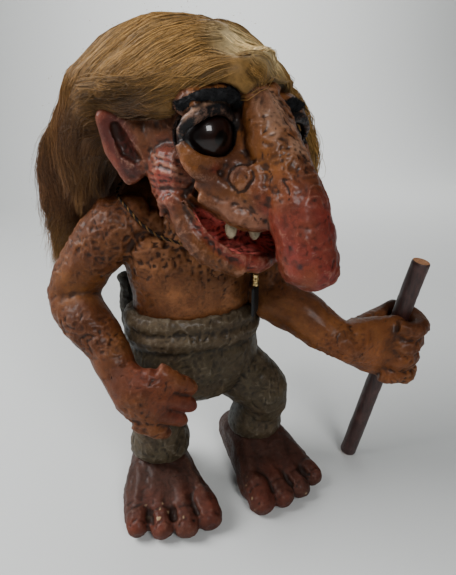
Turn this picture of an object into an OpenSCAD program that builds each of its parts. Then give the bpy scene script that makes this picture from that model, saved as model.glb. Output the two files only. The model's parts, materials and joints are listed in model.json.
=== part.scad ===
// Folk troll figurine: a hunched, laughing mountain troll on bare four-toed feet, in rolled-up
// trousers, with a wool wig, glass eyes, a long drooping nose and a walking stick in its left fist.
// Millimetres, +Z up. The chest faces -Y, and +X is the troll's own left. The head faces a
// little to its left, and turns on a dowel in the neck. The stick slides through the fist.

/* [Trousers] */
// Height of the waist above the soles
waist_h = 82; // [76:1:90]
// Width of the trousers over the hips
hip_w = 58; // [52:1:64]
// Depth of the trousers, belly to seat
hip_d = 42; // [38:1:48]
// Height of the rolled waistband
band_h = 13; // [9:1:16]
// How far the waistband stands out from the trousers
band_t = 1.6; // [1:0.2:3]
// Width of the legs at the thigh
thigh_w = 28; // [25:1:31]
// Width of the rolled-up cuffs
cuff_w = 27; // [24:1:30]
// Height of the cuffs' lower edge above the soles
ankle_h = 21; // [18:1:24]
// Distance between the two ankles
stance = 47; // [42:1:52]

// Thickness of the tail
tail_d = 6.4; // [5:0.2:8]

/* [Feet] */
// Length of a foot from heel to toe tips
foot_l = 60; // [54:1:66]
// Width of a foot across the toes
foot_w = 42; // [38:1:46]
// Thickness of a toe
toe_d = 11; // [9:0.5:13]
// How far the left foot is turned out
toe_out = 9; // [0:1:30]

/* [Chest] */
// Height of the chest from the waist to the shoulders
chest_h = 46; // [42:1:52]
// Width of the chest
chest_w = 60; // [54:1:66]
// Depth of the chest
chest_d = 38; // [34:1:44]
// Width of the neck
neck_w = 30; // [26:1:34]

/* [Arms] */
// Thickness of the upper arms
arm_d = 21; // [18:1:23]
// Thickness of the wrists
wrist_d = 16; // [13:1:18]
// Thickness of a finger
finger_d = 8; // [6.5:0.5:9]
// Thickness of a palm
palm_t = 15; // [13:0.5:17]

/* [Head] */
// How far the head faces to its left of the chest
head_yaw = 25; // [10:1:30]
// Width of the head at the cheekbones
head_w = 55; // [50:1:60]
// Depth of the head, forehead to nape
head_d = 64; // [60:1:70]
// Height of the head from jaw to crown
head_h = 78; // [74:1:84]
// Diameter of the glass eyes
eye_d = 18; // [15:0.5:19]
// Thickness of the glue round an eye in its socket
eye_play = 0.2; // [0.2:0.02:0.4]
// Distance between the middles of the eyes
eye_gap = 33; // [30:0.5:35]
// How much lower and further out the left eye sits than the right one
eye_drop = 3; // [0:0.5:4]
// Length of the nose from between the brows to its tip
nose_l = 64; // [54:1:70]
// Width of the nose
nose_w = 21; // [17:0.5:24]
// Height of an ear
ear_h = 25; // [20:1:28]
// How far an ear stands out from the head
ear_out = 10; // [7:0.5:13]
// Width of the open mouth, corner to corner
mouth_w = 50; // [44:1:54]
// Height of the gape in the middle of the mouth
gape = 10; // [7:0.5:12]
// Width of a tooth
tooth_w = 5; // [3.5:0.5:6]
// Thickness of an eyebrow
brow_t = 2.8; // [2:0.2:4]

/* [Wig] */
// Thickness of the hair over the crown
hair_t = 10; // [7:1:13]
// How far the hair stands out at the sides and the back
hair_out = 13; // [9:1:16]
// Length of the longest lock from the crown
lock_l = 82; // [70:1:90]

/* [Stick] */
// Length of the walking stick
stick_l = 109; // [100:1:125]
// Diameter of the stick
stick_d = 8; // [6:0.5:9]
// Lean of the stick to the troll's left
stick_side = 6.5; // [2:0.5:9]
// Lean of the stick's top to the front
stick_front = 11; // [6:0.5:14]
// Play of the stick in the fist, all round
stick_play = 0.08; // [0.05:0.01:0.1]

/* [Neck cord] */
// Diameter of the twisted cord
cord_d = 1.2; // [1:0.1:1.6]
// Diameter of the brass ferrule that closes the cord
ferrule_d = 2.6; // [2.2:0.1:3.4]
// Length of the ferrule
ferrule_l = 5; // [4:0.5:7]
// Height of the blank tag
tag_h = 12; // [9:0.5:16]
// Width of the tag
tag_w = 9; // [6:0.5:12]
// How far the tag is turned about the cord
tag_turn = -35; // [-90:5:90]
// Thickness of the tag
tag_t = 1.2; // [0.8:0.1:2]

/* [Inside] */
// Diameter of the wooden dowel that the head turns on
peg_d = 9; // [7:0.5:11]
// Play of the head on its dowel, all round
peg_play = 0.06; // [0.04:0.01:0.1]
// Diameter of the wires through the limbs
wire_d = 3; // [2:0.25:3.5]
// Play of a wire or a peg in its hole, all round
wire_play = 0.02; // [0.01:0.01:0.05]
// Depth of a wire in the seat, the chest or a foot
wire_hold = 10; // [8:0.5:12]

/* [Hidden] */

// The figure's own axis, from the middle of the space that it takes up.
origin_x = -16.0;
origin_y = 6.3;

// Places on the body, in the figure's own frame.
body_x = -4;
body_y = 2;
crotch_h = waist_h - 36;
shoulder_h = waist_h + chest_h - 5;
collar_h = waist_h + chest_h;
right_ankle = [body_x + 1 - stance / 2 + 4.5, -3];
left_ankle = [right_ankle.x + stance, -2];
right_shoulder = [body_x - chest_w / 2 + 1, 4, shoulder_h];
left_shoulder = [body_x + chest_w / 2 + 2, 3, shoulder_h - 5];
right_elbow = [right_shoulder.x - 19, 10, shoulder_h - 27];
right_wrist = [right_elbow.x + 13, -14, shoulder_h - 53];
left_elbow = [left_shoulder.x - 1, -3, shoulder_h - 31];
left_wrist = [left_elbow.x + 26, -28, shoulder_h - 49];
neck_x = -5.3;
neck_y = -3.5;
skin_play = 0.3;  // clear space between the head's pieces and the body

// Heights on the head.
jaw_h = collar_h - 18;
crown_h = jaw_h + head_h;
eye_h = crown_h - 29;
mouth_h = jaw_h + 14;
eye_y = -head_d / 2 + 5;
nape_h = collar_h + 15.5;
neck_h = collar_h + 6;
peg_l = neck_h + 14;
hair_h = crown_h + hair_t;

// The stick's foot stands on the ground, one rim down, and its axis runs up through the fist.
stick_dir = unit([tan(stick_side), -tan(stick_front), 1]);
stick_foot = [73, -12, stick_d / 2 * sqrt(1 - stick_dir.z * stick_dir.z) + 0.1];
grip = stick_foot + stick_dir * (left_wrist.z - 5 - stick_foot.z) / stick_dir.z;

function unit(v) = v / norm(v);
function clip(i, n) = min(max(i, 0), n);
function curve(a, b, c, d, t) = 0.5 * (2 * b + (c - a) * t + (2 * a - 5 * b + 4 * c - d) * t * t
    + (3 * b - a - 3 * c + d) * t * t * t);
// Fills in a row of stations with a smooth curve through them.
function smooth(S, n) = let (e = len(S) - 1)
    [for (i = [0 : e - 1], k = [0 : n - 1])
        curve(S[clip(i - 1, e)], S[i], S[i + 1], S[clip(i + 2, e)], k / n), S[e]];
function sharp(v, p) = sign(v) * pow(abs(v), 2 / p);
// One ring of a skin: half width w along side, half depth d, rounder or squarer with p.
function ring(c, dir, side, w, d, n, p = 2) =
    let (t = unit(dir), u = unit(side - (side * t) * t), v = cross(t, u))
    [for (i = [0 : n - 1]) c + w * sharp(cos(360 * i / n), p) * u + d * sharp(sin(360 * i / n), p) * v];
function centre(R) = [for (k = [0 : 2]) let (v = [for (r = R) r[k]]) (min(v) + max(v)) / 2];

// Closes a row of rings into one solid.
module skin(R) {
    m = len(R);
    n = len(R[0]);
    points = concat([for (r = R) each r], [centre(R[0]), centre(R[m - 1])]);
    sides = [for (j = [0 : m - 2], i = [0 : n - 1]) let (k = (i + 1) % n)
        each [[j * n + i, (j + 1) * n + i, j * n + k], [j * n + k, (j + 1) * n + i, (j + 1) * n + k]]];
    lids = [for (i = [0 : n - 1]) let (k = (i + 1) % n)
        each [[m * n, i, k], [m * n + 1, (m - 1) * n + k, (m - 1) * n + i]]];
    polyhedron(points = points, faces = concat(sides, lids));
}

// A limb along stations of [middle, half width, half depth].
module limb(stations, side = [1, 0, 0], sides = 14, steps = 2, square = 2) {
    S = smooth(stations, steps);
    e = len(S) - 1;
    skin([for (i = [0 : e])
        ring(S[i][0], S[clip(i + 1, e)][0] - S[clip(i - 1, e)][0], side, S[i][1], S[i][2], sides, square)]);
}

// A body of level rings along stations of [height, middle x, front y, back y, half width].
module trunk(stations, sides = 24, steps = 2, square = 2.2) {
    S = smooth(stations, steps);
    skin([for (s = S) ring([s[1], (s[2] + s[3]) / 2, s[0]], [0, 0, 1], [1, 0, 0], s[4], (s[3] - s[2]) / 2,
        sides, square)]);
}

// Joins what is drawn inside it into one seamless casting.
module casting() {
    resize([0, 0, 0]) union() children();
}

module blob(at, size, turn = [0, 0, 0], facets = 10) {
    translate(at) rotate(turn) scale(size / 2) sphere(1, $fn = facets);
}

// A round hole or rod from one point to another.
module rod(a, b, d) {
    v = b - a;
    translate(a) rotate([0, acos(v.z / norm(v)), atan2(v.y, v.x)]) cylinder(d = d, h = norm(v), $fn = 32);
}

// ---- Trousers ----

module seat_form() {
    w = hip_w / 2;
    f = body_y - hip_d / 2;
    b = body_y + hip_d / 2;
    trunk([[crotch_h - 1, body_x + 2, f + 12, b - 10, w - 18], [crotch_h + 3, body_x + 1, f + 6, b - 5, w - 11],
        [crotch_h + 9, body_x + 1, f + 2, b - 1, w - 4], [crotch_h + 19, body_x, f, b, w],
        [waist_h - 6, body_x, f + 2, b - 2, w - 1.5], [waist_h, body_x, f + 3, b - 3, w - 2.5]]);
}

module right_leg_form() {
    a = right_ankle;
    t = thigh_w / 2;
    c = cuff_w / 2;
    limb([[[body_x - 13, body_y, crotch_h + 17], t - 2, t - 2], [[body_x - 15, body_y - 2, crotch_h + 6], t, t],
        [[a.x - 0.5, a.y + 1, ankle_h + 20], t - 2, t - 2], [[a.x, a.y, ankle_h + 12], c - 1.5, c - 1],
        [[a.x, a.y, ankle_h + 6], c, c], [[a.x, a.y, ankle_h + 1.5], c - 0.5, c - 0.5],
        [[a.x, a.y, ankle_h], c - 2, c - 2]], sides = 18);
}

module left_leg_form() {
    a = left_ankle;
    t = thigh_w / 2;
    c = cuff_w / 2;
    limb([[[body_x + 10, body_y + 2, crotch_h + 19], t - 2, t - 2], [[body_x + 19, body_y - 2, crotch_h + 9], t, t],
        [[a.x + 2, a.y - 4, ankle_h + 22], t - 2, t - 2], [[a.x + 1, a.y - 1, ankle_h + 13], c - 2.5, c - 2],
        [[a.x, a.y, ankle_h + 6], c - 1, c], [[a.x, a.y, ankle_h + 1.5], c - 1, c - 1],
        [[a.x, a.y, ankle_h], c - 3, c - 2]], sides = 18);
}

// One wire runs up each leg, out of the foot. The right one ends in the seat.
module right_leg_rod(d) {
    rod([right_ankle.x, right_ankle.y, ankle_h - wire_hold],
        [right_ankle.x + 4, right_ankle.y + 2, crotch_h + wire_hold + 8], d);
}
module left_leg_rod(d) {
    rod([left_ankle.x, left_ankle.y, ankle_h - wire_hold],
        [left_ankle.x + 1, left_ankle.y - 2, ankle_h + wire_hold + 12], d);
}
wire_hole = wire_d + 2 * wire_play;

module trousers_seat() {
    color("#4a4335") difference() {
        casting() seat_form();
        right_leg_rod(wire_hole);
    }
}
module right_trouser_leg() {
    color("#4a4335") difference() {
        casting() difference() { right_leg_form(); seat_form(); }
        right_leg_rod(wire_hole);
    }
}
module left_trouser_leg() {
    color("#4a4335") difference() {
        casting() difference() { left_leg_form(); seat_form(); }
        left_leg_rod(wire_hole);
    }
}

// The waistband is a thick roll of cloth with a dip along its middle.
module waistband() {
    w = hip_w / 2 + band_t;
    f = body_y - hip_d / 2 - band_t;
    b = body_y + hip_d / 2 + band_t;
    color("#4b4436") casting() difference() {
        trunk([[waist_h - band_h / 2 - 2, body_x, f + 4, b - 4, w - 3.5],
            [waist_h - band_h / 2, body_x, f + 2, b - 2, w - 1.5],
            [waist_h - band_h / 4, body_x, f + 1.2, b - 1.2, w - 0.5], [waist_h, body_x, f + 3, b - 3, w - 2],
            [waist_h + band_h / 4, body_x, f + 2, b - 2, w - 1],
            [waist_h + band_h / 2, body_x, f + 4, b - 4, w - 3]]);
        seat_form();
        torso_form();
        left_arm_form();
    }
}

// ---- Feet ----

// A foot with its ankle over the origin and its toes to -Y; out is 1 or -1, towards its big toe.
module foot_form(big) {
    back = foot_l * 0.4;
    ball = -foot_l * 0.36;
    w = foot_w / 2;
    limb([[[0, back, 8], 5, 6], [[0, back - 3, 8.5], 9, 9.5], [[0, back - 14, 10], 12.5, 13],
        [[-big * 0.5, 0, 10], 14.5, 14], [[-big, ball * 0.5, 7.5], w - 3.5, 11], [[0, ball, 5], w - 1, 7.5],
        [[0, ball - 5, 4.5], w - 3, 5.5]], sides = 14, square = 2.4);
    for (k = [0 : 3]) {
        x = big * (k - 1.5) * foot_w / 4.25;
        r = toe_d / 2 * (k == 3 ? 1.08 : 0.88 + 0.04 * k);
        tip = -foot_l * 0.6 + r * 0.8 + [5, 1.5, 0, 1][k];
        limb([[[x * 0.8, ball + 6, 7], r * 0.9, r * 0.8], [[x * 0.92, ball - 2, 7.5], r * 1.05, r],
            [[x, tip, 5.2], r * 1.05, r], [[x, tip - r * 0.55, 4.4], r * 0.85, r * 0.75],
            [[x, tip - r * 0.8, 4], r * 0.45, r * 0.4]], sides = 9, steps = 1);
    }
}

module planted(ankle, turn, big) {
    difference() {
        casting() difference() {
            translate([ankle.x, ankle.y, 0]) rotate([0, 0, turn]) foot_form(big);
            right_leg_form();
            left_leg_form();
        }
        translate([ankle.x - foot_l, ankle.y - foot_l, -foot_l]) cube([2 * foot_l, 2 * foot_l, foot_l]);
        right_leg_rod(wire_hole);
        left_leg_rod(wire_hole);
    }
}

module right_foot() {
    color("#7a4632") planted(right_ankle, -4, 1);
}
module left_foot() {
    color("#7a4632") planted(left_ankle, toe_out, -1);
}

// ---- Chest, arms and hands ----

module torso_form() {
    w = chest_w / 2;
    f = body_y - chest_d / 2;
    b = body_y + chest_d / 2;
    n = neck_w / 2;
    trunk([[waist_h, body_x, f + 3, b - 3, w - 5], [waist_h + 6, body_x, f + 2, b - 2, w - 5.5],
        [waist_h + 16, body_x, f, b, w - 4.5], [waist_h + 27, body_x, f, b, w - 2],
        [shoulder_h - 7, body_x, f + 2, b, w - 0.5], [shoulder_h - 2, body_x - 0.5, f + 7, b, w - 1],
        [shoulder_h + 3, body_x - 2, f + 12, b + 1, w - 4], [collar_h + 3, body_x - 4, f + 17, b + 1, n + 7.5],
        [collar_h + 8, body_x - 6, f + 20, b, n + 5], [collar_h + 12, body_x - 7, f + 24, b - 3, n],
        [collar_h + 14, body_x - 8, f + 27, b - 8, n - 8]], sides = 22);
    translate([neck_x, neck_y, waist_h + 36]) cylinder(r1 = n - 1, r2 = n - 6, h = neck_h - waist_h - 36, $fn = 20);
}

// Room in the head for the neck, and for the chest as the head turns.
module throat_room() {
    n = neck_w / 2;
    rotate_extrude($fn = 30) polygon([[0, jaw_h - 10], [n + 11, jaw_h - 10], [n + 10, jaw_h + 9], [n + 6, jaw_h + 15],
        [n - 0.5, neck_h - 5], [n - 5.2, neck_h + skin_play], [0, neck_h + skin_play]]);
}

module right_arm_form() {
    a = arm_d / 2;
    r = wrist_d / 2;
    limb([[right_shoulder + [10, 0, 1], a, a], [right_shoulder, a + 2, a + 1.5],
        [(right_shoulder + right_elbow) / 2 + [-2, 0, 1], a, a], [right_elbow, a - 0.5, a],
        [right_elbow + [3, -8, -8], a, a - 0.5], [(right_elbow + right_wrist) / 2 + [2, -3, -2], a - 1.5, a - 1.5],
        [right_wrist, r, r], [right_wrist + [3, -3, -2], r - 0.5, r - 0.5]], side = [0, 1, 0.3], sides = 16);
}

module left_arm_form() {
    a = arm_d / 2;
    r = wrist_d / 2;
    limb([[left_shoulder + [-10, -1, 1], a - 1, a - 1], [left_shoulder, a + 2, a + 1.5],
        [(left_shoulder + left_elbow) / 2 + [3, 1, 1], a, a], [left_elbow, a + 0.5, a],
        [left_elbow + [7, -8, -5], a, a], [(left_elbow + left_wrist) / 2 + [1, -2, 0], a - 0.5, a - 0.5],
        [left_wrist, r + 1, r], [left_wrist + [3, -1, -1], r + 0.5, r]], side = [0, 1, 0.3], sides = 16);
}

module torso() {
    color("#6f4428") difference() {
        casting() torso_form();
        rod([neck_x, neck_y, collar_h - 15], [neck_x, neck_y, peg_l], peg_d + 2 * wire_play);
        shoulder_hole(wire_hole);
    }
}

// One wire runs through the chest into both upper arms.
module shoulder_hole(d) {
    rod(right_shoulder + [-2, 0, 0], left_shoulder + [2, 0, 0], d);
}

module right_arm() {
    color("#6b3f26") difference() {
        casting() difference() { right_arm_form(); torso_form(); }
        shoulder_hole(wire_hole);
    }
}
module left_arm() {
    color("#6b3f26") difference() {
        casting() difference() { left_arm_form(); torso_form(); }
        shoulder_hole(wire_hole);
    }
}

// The right hand lies flat on the thigh, four fingers slanting down across it.
module right_hand() {
    p = palm_t / 2;
    f = finger_d / 2;
    w = right_wrist;
    along = unit([0.86, -0.18, -0.5]);
    across = unit([0.45, 0, 0.86]);
    knuckles = w + [11, -9, -10];
    color("#86443a") casting() difference() {
        union() {
            limb([[w + [-2, 2, 3], wrist_d / 2 - 1, wrist_d / 2 - 1], [w + [2, -4, -3], wrist_d / 2 + 1, p],
                [w + [7, -8, -8], 12, p], [knuckles + [2, 0, -1], 13, p - 1], [knuckles + [5, 1, -3], 11, p - 3.5]],
                side = across, sides = 14);
            for (k = [0 : 3]) {
                root = knuckles + across * (k - 1.5) * (finger_d - 0.7);
                reach = [13, 16, 15, 11][3 - k];
                limb([[root - along * 3, f, f], [root + along * reach * 0.35 + [0, -1, 0], f, f + 0.4],
                    [root + along * reach * 0.75, f * 0.96, f], [root + along * reach + [0, 2, -1], f * 0.8, f * 0.8],
                    [root + along * (reach + 2) + [0, 3.5, -2], f * 0.4, f * 0.4]],
                    side = across, sides = 8, steps = 1);
            }
            limb([[w + [4, -5, -2], f, f], [w + [10, -9, 0], f, f], [w + [15, -9, -3], f * 0.9, f * 0.9],
                [w + [19, -7, -6], f * 0.5, f * 0.5]], side = across, sides = 8, steps = 1);
        }
        right_arm_form();
        seat_form();
        right_leg_form();
        torso_form();
    }
}

// The left fist closes round the stick: a palm behind it, four fingers round its front.
module left_fist() {
    p = palm_t / 2;
    f = finger_d / 2;
    w = left_wrist;
    s = stick_dir;
    inward = unit(cross(cross(s, w - grip), s));
    ahead = cross(s, inward);
    r = stick_d / 2 + f * 0.8;
    color("#7d4a2e") difference() {
        casting() difference() {
            union() {
                limb([[w, wrist_d / 2, wrist_d / 2], [w + [5, -1, -1], p + 3, p + 1],
                    [grip + inward * 11 + ahead * 2, 14, p + 1], [grip + inward * 3 + ahead * 4, 15, p],
                    [grip - inward * 3 + ahead * 4, 11, p - 3]], side = s, sides = 16);
                for (k = [0 : 3]) {
                    up = grip + s * (k - 1.5) * (finger_d - 0.4);
                    limb([for (a = [-50 : 30 : 200]) let (rr = r + (a < 60 ? 3.5 - 0.6 * k : 1))
                        [up - inward * sin(a) * rr + ahead * cos(a) * (rr + 1), f * (a > 180 ? 0.6 : 1.05),
                            f * (a > 180 ? 0.6 : 1.1)]], side = s, sides = 8, steps = 1);
                }
                limb([[w + [4, 4, 1], f + 1, f + 1], [grip + inward * 7 - ahead * 7 + s * 6, f + 1, f + 1],
                    [grip - inward * 2 - ahead * 10 + s * 9, f, f],
                    [grip - inward * 7 - ahead * 8 + s * 10, f * 0.6, f * 0.6]],
                    side = s, sides = 8, steps = 1);
            }
            left_arm_form();
        }
        rod(stick_foot, stick_foot + stick_dir * (stick_l + 20), stick_d + 2 * stick_play);
    }
}

// A short stub of tail stands out behind the right hip, above the waistband.
module tail() {
    r = tail_d / 2;
    back = body_y + hip_d / 2;
    color("#3d3a2c") casting() difference() {
        limb([[[body_x - 9, back - 6, waist_h - 24], r + 1, r + 1], [[body_x - 17, back, waist_h - 22], r + 0.6, r + 0.6],
            [[body_x - 23, back + 1, waist_h - 13], r + 0.3, r + 0.3], [[body_x - 25, back + 1, waist_h], r, r],
            [[body_x - 24, back, waist_h + 9], r, r], [[body_x - 26, back - 1, waist_h + 15], r * 0.9, r * 0.9],
            [[body_x - 26.5, back - 1, waist_h + 16.5], r * 0.5, r * 0.5]], side = [0, 1, 0], sides = 10);
        seat_form();
        waistband();
    }
}

// ---- Pegs and wires inside ----

module neck_dowel() {
    color("tan") rod([neck_x, neck_y, collar_h - 15], [neck_x, neck_y, peg_l], peg_d);
}
module shoulder_wire() {
    color("silver") shoulder_hole(wire_d);
}
module right_leg_wire() {
    color("silver") right_leg_rod(wire_d);
}
module left_leg_wire() {
    color("silver") left_leg_rod(wire_d);
}

// ---- Neck cord ----

// One end of the cord comes out of the ferrule, runs up over the left shoulder, round the nape, over the
// right shoulder and down across the chest, back into the ferrule.
cord_route = [[17.7, -16.7, 104.5], [18, -14.6, 107.5], [19.5, -12.2, 111.5], [22.6, -10, 116.5],
    [24, -9.8, 120.5], [25.2, -8.6, 124], [25.9, -6.2, 127], [25.6, -2.2, 130.2], [24.6, 3.5, 131.8],
    [21.5, 9, 132], [16.5, 12.5, 133], [11.5, 15, 135.5], [6, 18.2, 138.5], [-3, 20, 139.2], [-14, 20, 139.8],
    [-22.8, 17.8, 140.3], [-28.3, 13.2, 139.6], [-31.4, 8, 137.2], [-32.2, 2.5, 135.8], [-31.5, -2.5, 134.2],
    [-29.2, -6.8, 131], [-26, -9.4, 126.8], [-20, -12.8, 122.2], [-13, -16.2, 119.8], [-8.5, -18, 117.5],
    [-3, -17.6, 113.8], [4, -17.6, 110], [10, -16.8, 107], [14.5, -16.4, 105.4], [17, -16.9, 104.5]];

module neck_cord() {
    P = smooth(cord_route, 2);
    e = len(P) - 1;
    color("#2a2320") skin([for (i = [0 : e])
        ring(P[i], P[clip(i + 1, e)] - P[clip(i - 1, e)], [0.3, 0.2, 1], cord_d / 2, cord_d / 2, 8)]);
}
ferrule_top = [17.3, -16.8, 104.6];
module cord_ferrule() {
    color("#b08d3c") translate(ferrule_top - [0, 0, ferrule_l]) cylinder(d = ferrule_d, h = ferrule_l, $fn = 32);
}
module cord_tag() {
    color("#151312") translate(ferrule_top - [0, 0, ferrule_l + tag_h / 2]) rotate([0, 0, tag_turn])
        cube([tag_t, tag_w, tag_h], center = true);
}

// ---- Head ----

// Puts the head's own frame, with its dowel on the Z axis, where the head sits.
module on_neck() {
    translate([neck_x, neck_y, 0]) rotate([0, 0, head_yaw]) children();
}

module skull_form() {
    w = head_w / 2;
    f = -head_d / 2;
    b = head_d / 2 - 3;
    trunk([[nape_h, 0, f + 14, b - 14, w - 10], [nape_h + 3, 0, f + 8, b - 4, w - 3],
        [nape_h + 9, 0, f + 4, b, w], [eye_h, 0, f, b + 1, w + 0.5], [eye_h + 11, 0, f - 1, b, w - 2],
        [crown_h - 9, 0, f + 7, b - 4, w - 7], [crown_h - 2, 0, f + 18, b - 14, w - 16],
        [crown_h, 0, f + 26, b - 22, w - 23]], sides = 20);
}

// The jaw runs forward and down from the nape to the chin.
module jaw_form() {
    w = head_w / 2;
    f = -head_d / 2;
    limb([[[0, -4, nape_h + 6], w - 5, 9], [[0, -10, nape_h + 3.5], w - 1.5, 12], [[0, f + 14, jaw_h + 27], w - 1.5, 14],
        [[0, f + 6, jaw_h + 19], w - 4, 14], [[0, f - 1, jaw_h + 13], w - 9, 12], [[0, f - 6, jaw_h + 9.5], w - 14, 8],
        [[0, f - 9, jaw_h + 8.5], w - 21, 4]], sides = 18);
}

module ear(s) {
    top = eye_h + 8.5;
    low = top - ear_h;
    root = head_w / 2 - 2;
    difference() {
        hull() {
            blob([s * root, -5, top - 6], [6, 10, 9]);
            blob([s * (root + ear_out - 1), 3, top - 3.5], [5, 5, 7]);
            blob([s * (root + ear_out * 0.85), 1, top - 12], [3.5, 5, 8]);
            blob([s * (root + 3), -2, low + 3], [5, 6, 7]);
            blob([s * root, -8, low + 9], [6, 8, 10]);
        }
        hull() {
            blob([s * (root + ear_out - 2.5), -2, top - 5.5], [2.5, 5, 2.5]);
            blob([s * (root + ear_out * 0.55), -4.5, top - 13], [5, 7, 7]);
            blob([s * (root + 3.5), -7, low + 9], [4, 6, 4]);
        }
    }
}

module nose_form() {
    n = nose_w / 2;
    tip = eye_h + 11 - nose_l * 0.9;
    f = eye_y - 8;
    out = -nose_l * 0.37;
    limb([[[0, f + 7, eye_h + 15], n * 0.68, n * 0.45], [[0, f + 1, eye_h + 9], n * 0.82, n * 0.6],
        [[0, f + out * 0.25, eye_h], n * 0.9, n * 0.7], [[0, f + out * 0.5, eye_h - 12], n * 0.95, n * 0.85],
        [[0, f + out * 0.75, eye_h - 22], n, n * 0.92], [[0, f + out * 0.95, tip + 9], n, n * 0.95],
        [[0, f + out, tip + 3], n * 0.8, n * 0.8], [[0, f + out, tip], n * 0.35, n * 0.35]], sides = 14);
}

// The mouth's smile, from one corner (s = -1) over the middle (0) to the other (1).
function smile(s, rise, y = 0) = [s * mouth_w / 2, -head_d / 2 - 8 + 13 * s * s + y,
    mouth_h + rise + 17 * s * s * abs(s)];

module lip(rise, t) {
    limb([for (s = [-1 : 0.2 : 1]) [smile(s, rise * (1 - s * s)), t * (1.15 - 0.4 * s * s), t]],
        side = [0, 0, 1], sides = 8, steps = 1);
}

module mouth_gap() {
    limb([for (s = [-1 : 0.25 : 1]) [smile(s, 0, 1), 11, gape / 2 * (1 - 0.75 * s * s)]],
        side = [0, 1, 0], sides = 10, steps = 1);
}

// The middle of an eye. The face is modelled by eye, so the left one isn't level with the right.
function eye_at(s) = [s * eye_gap / 2 + (s > 0 ? eye_drop * 0.8 : 0), eye_y, eye_h - (s > 0 ? eye_drop : 0)];

module lid(s) {
    x = eye_at(s)[0];
    r = eye_d / 2 + 0.6;
    // Upper lid: an arch over the ball. Lower lid: a bag under it.
    for (a = [1, -1])
        limb([for (k = [-80 : 20 : 80]) [[x + s * 2 + r * sin(k) * 1.12, eye_y - r * cos(k) * 0.62 - 1.5,
            eye_at(s)[2] + a * cos(k) * r * (a > 0 ? 0.85 : 0.8)], 2.2, 2]], side = [0, 0, 1], sides = 6, steps = 1);
}

module head_form() {
    skull_form();
    nose_form();
    for (s = [-1, 1]) {
        // Nostril, cheek and brow ridge
        blob([s * nose_w * 0.52, -head_d / 2 - 3, eye_h - 12], [14, 14, 17]);
        blob([s * (head_w / 2 - 8), -17, mouth_h + 23], [20, 24, 24]);
        blob(eye_at(s) + [0, -1, 11], [24, 16, 12], [0, s * 12, 0]);
        ear(s);
        lid(s);
    }
    jaw_form();
    // The long upper lip bulges out under the nose.
    blob([0, -head_d / 2 + 8, mouth_h + 17], [44, 32, 26]);
    blob([0, -head_d / 2 - 6, mouth_h + 19], [nose_w + 2, 18, 28]);
    lip(gape / 2 + 1, 2.4);
    lip(-gape / 2 - 1, 2.6);
}

module head() {
    color("#8a5433") difference() {
        on_neck() casting() difference() {
            head_form();
            mouth_gap();
            throat_room();
            for (s = [-1, 1]) {
                tooth_form(s);
                translate(eye_at(s)) sphere(d = eye_d + 2 * eye_play, $fn = 24);
            }
        }
        on_neck() translate([0, 0, neck_h])
            cylinder(d = peg_d + 2 * peg_play, h = peg_l - neck_h + 0.5, $fn = 48);
    }
}

module eye(s) {
    color("#1c110b") on_neck() translate(eye_at(s)) sphere(d = eye_d, $fn = 48);
}
module right_eye() { eye(-1); }
module left_eye() { eye(1); }

module brow_form(s) {
    limb([for (k = [-1 : 0.5 : 1]) [[s * (eye_gap / 2 + 1 + k * 11.5), eye_y - 9 + 5 * (k + 0.3) * (k + 0.3),
        eye_at(s)[2] + 12 - 3.5 * k * k], brow_t * (1 - 0.3 * k * k), brow_t * 0.7]], side = [0, 0, 1], sides = 8);
}
module brow(s) {
    color("#14110f") on_neck() casting() difference() {
        brow_form(s);
        head_form();
    }
}
module right_brow() { brow(-1); }
module left_brow() { brow(1); }

module tooth_form(s) {
    x = s * tooth_w * 0.9 - 8;
    at = 2 * x / mouth_w;
    blob([x, -head_d / 2 - 5.5 + 11 * at * at, mouth_h + gape / 2 - 0.5 + 12 * pow(abs(at), 3)],
        [tooth_w, tooth_w * 0.7, tooth_w * 1.5], facets = 10);
}
module right_tooth() {
    color("#cfc6a0") on_neck() casting() tooth_form(-1);
}
module left_tooth() {
    color("#cfc6a0") on_neck() casting() tooth_form(1);
}

// ---- Wig ----

module crown_form() {
    w = head_w / 2 + hair_out;
    f = -head_d / 2 - 6;
    b = head_d / 2 + hair_out + 1;
    trunk([[eye_h - 9, -1, 6, b - 3, w - 6], [eye_h, -2, 2, b, w - 3], [eye_h + 10, -2, f, b, w - 2],
        [eye_h + 18, -1, f + 1, b - 2, w - 2.5], [crown_h - 3, 0, f + 8, b - 8, w - 9.5],
        [hair_h - 4, 0, f + 18, b - 18, w - 20], [hair_h, 0, f + 31, b - 32, w - 33]], sides = 20);
}

// Clear space for the ears and for the face below the hairline.
module face_room() {
    rotate([0, 90, 0]) linear_extrude(200, center = true) polygon([[-eye_h - 16, -90], [-eye_h - 16, -34],
        [-eye_h - 13, -14], [-eye_h - 13, 6], [-eye_h + 60, 9], [-eye_h + 60, -90]]);
}

module wig_crown() {
    color("#a07a4a") on_neck() casting() difference() {
        crown_form();
        face_room();
        fringe_form();
        head_form();
        brow_form(-1);
        brow_form(1);
    }
}

// The fringe sweeps from the parting over the forehead to the right ear.
module fringe_form() {
    f = -head_d / 2;
    w = head_w / 2;
    limb([[[10, f + 3, eye_h + 25], 3, 2.5], [[3, f - 2, eye_h + 21], 6, 4], [[-9, f - 3, eye_h + 17], 7.5, 5],
        [[-20, f + 5, eye_h + 14], 8, 5.5], [[-w - 1, f + 17, eye_h + 12.5], 8, 5.5], [[-w - 4, f + 32, eye_h + 13], 8, 5],
        [[-w - 5, f + 46, eye_h + 9], 6, 4]], side = [0, 0, 1], sides = 12);
}
module wig_fringe() {
    color("#a5804c") on_neck() casting() difference() {
        fringe_form();
        head_form();
        brow_form(-1);
        brow_form(1);
        blob([-eye_gap / 2, eye_y, eye_h], [eye_d + 1, eye_d + 1, eye_d + 1], facets = 20);
    }
}

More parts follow.
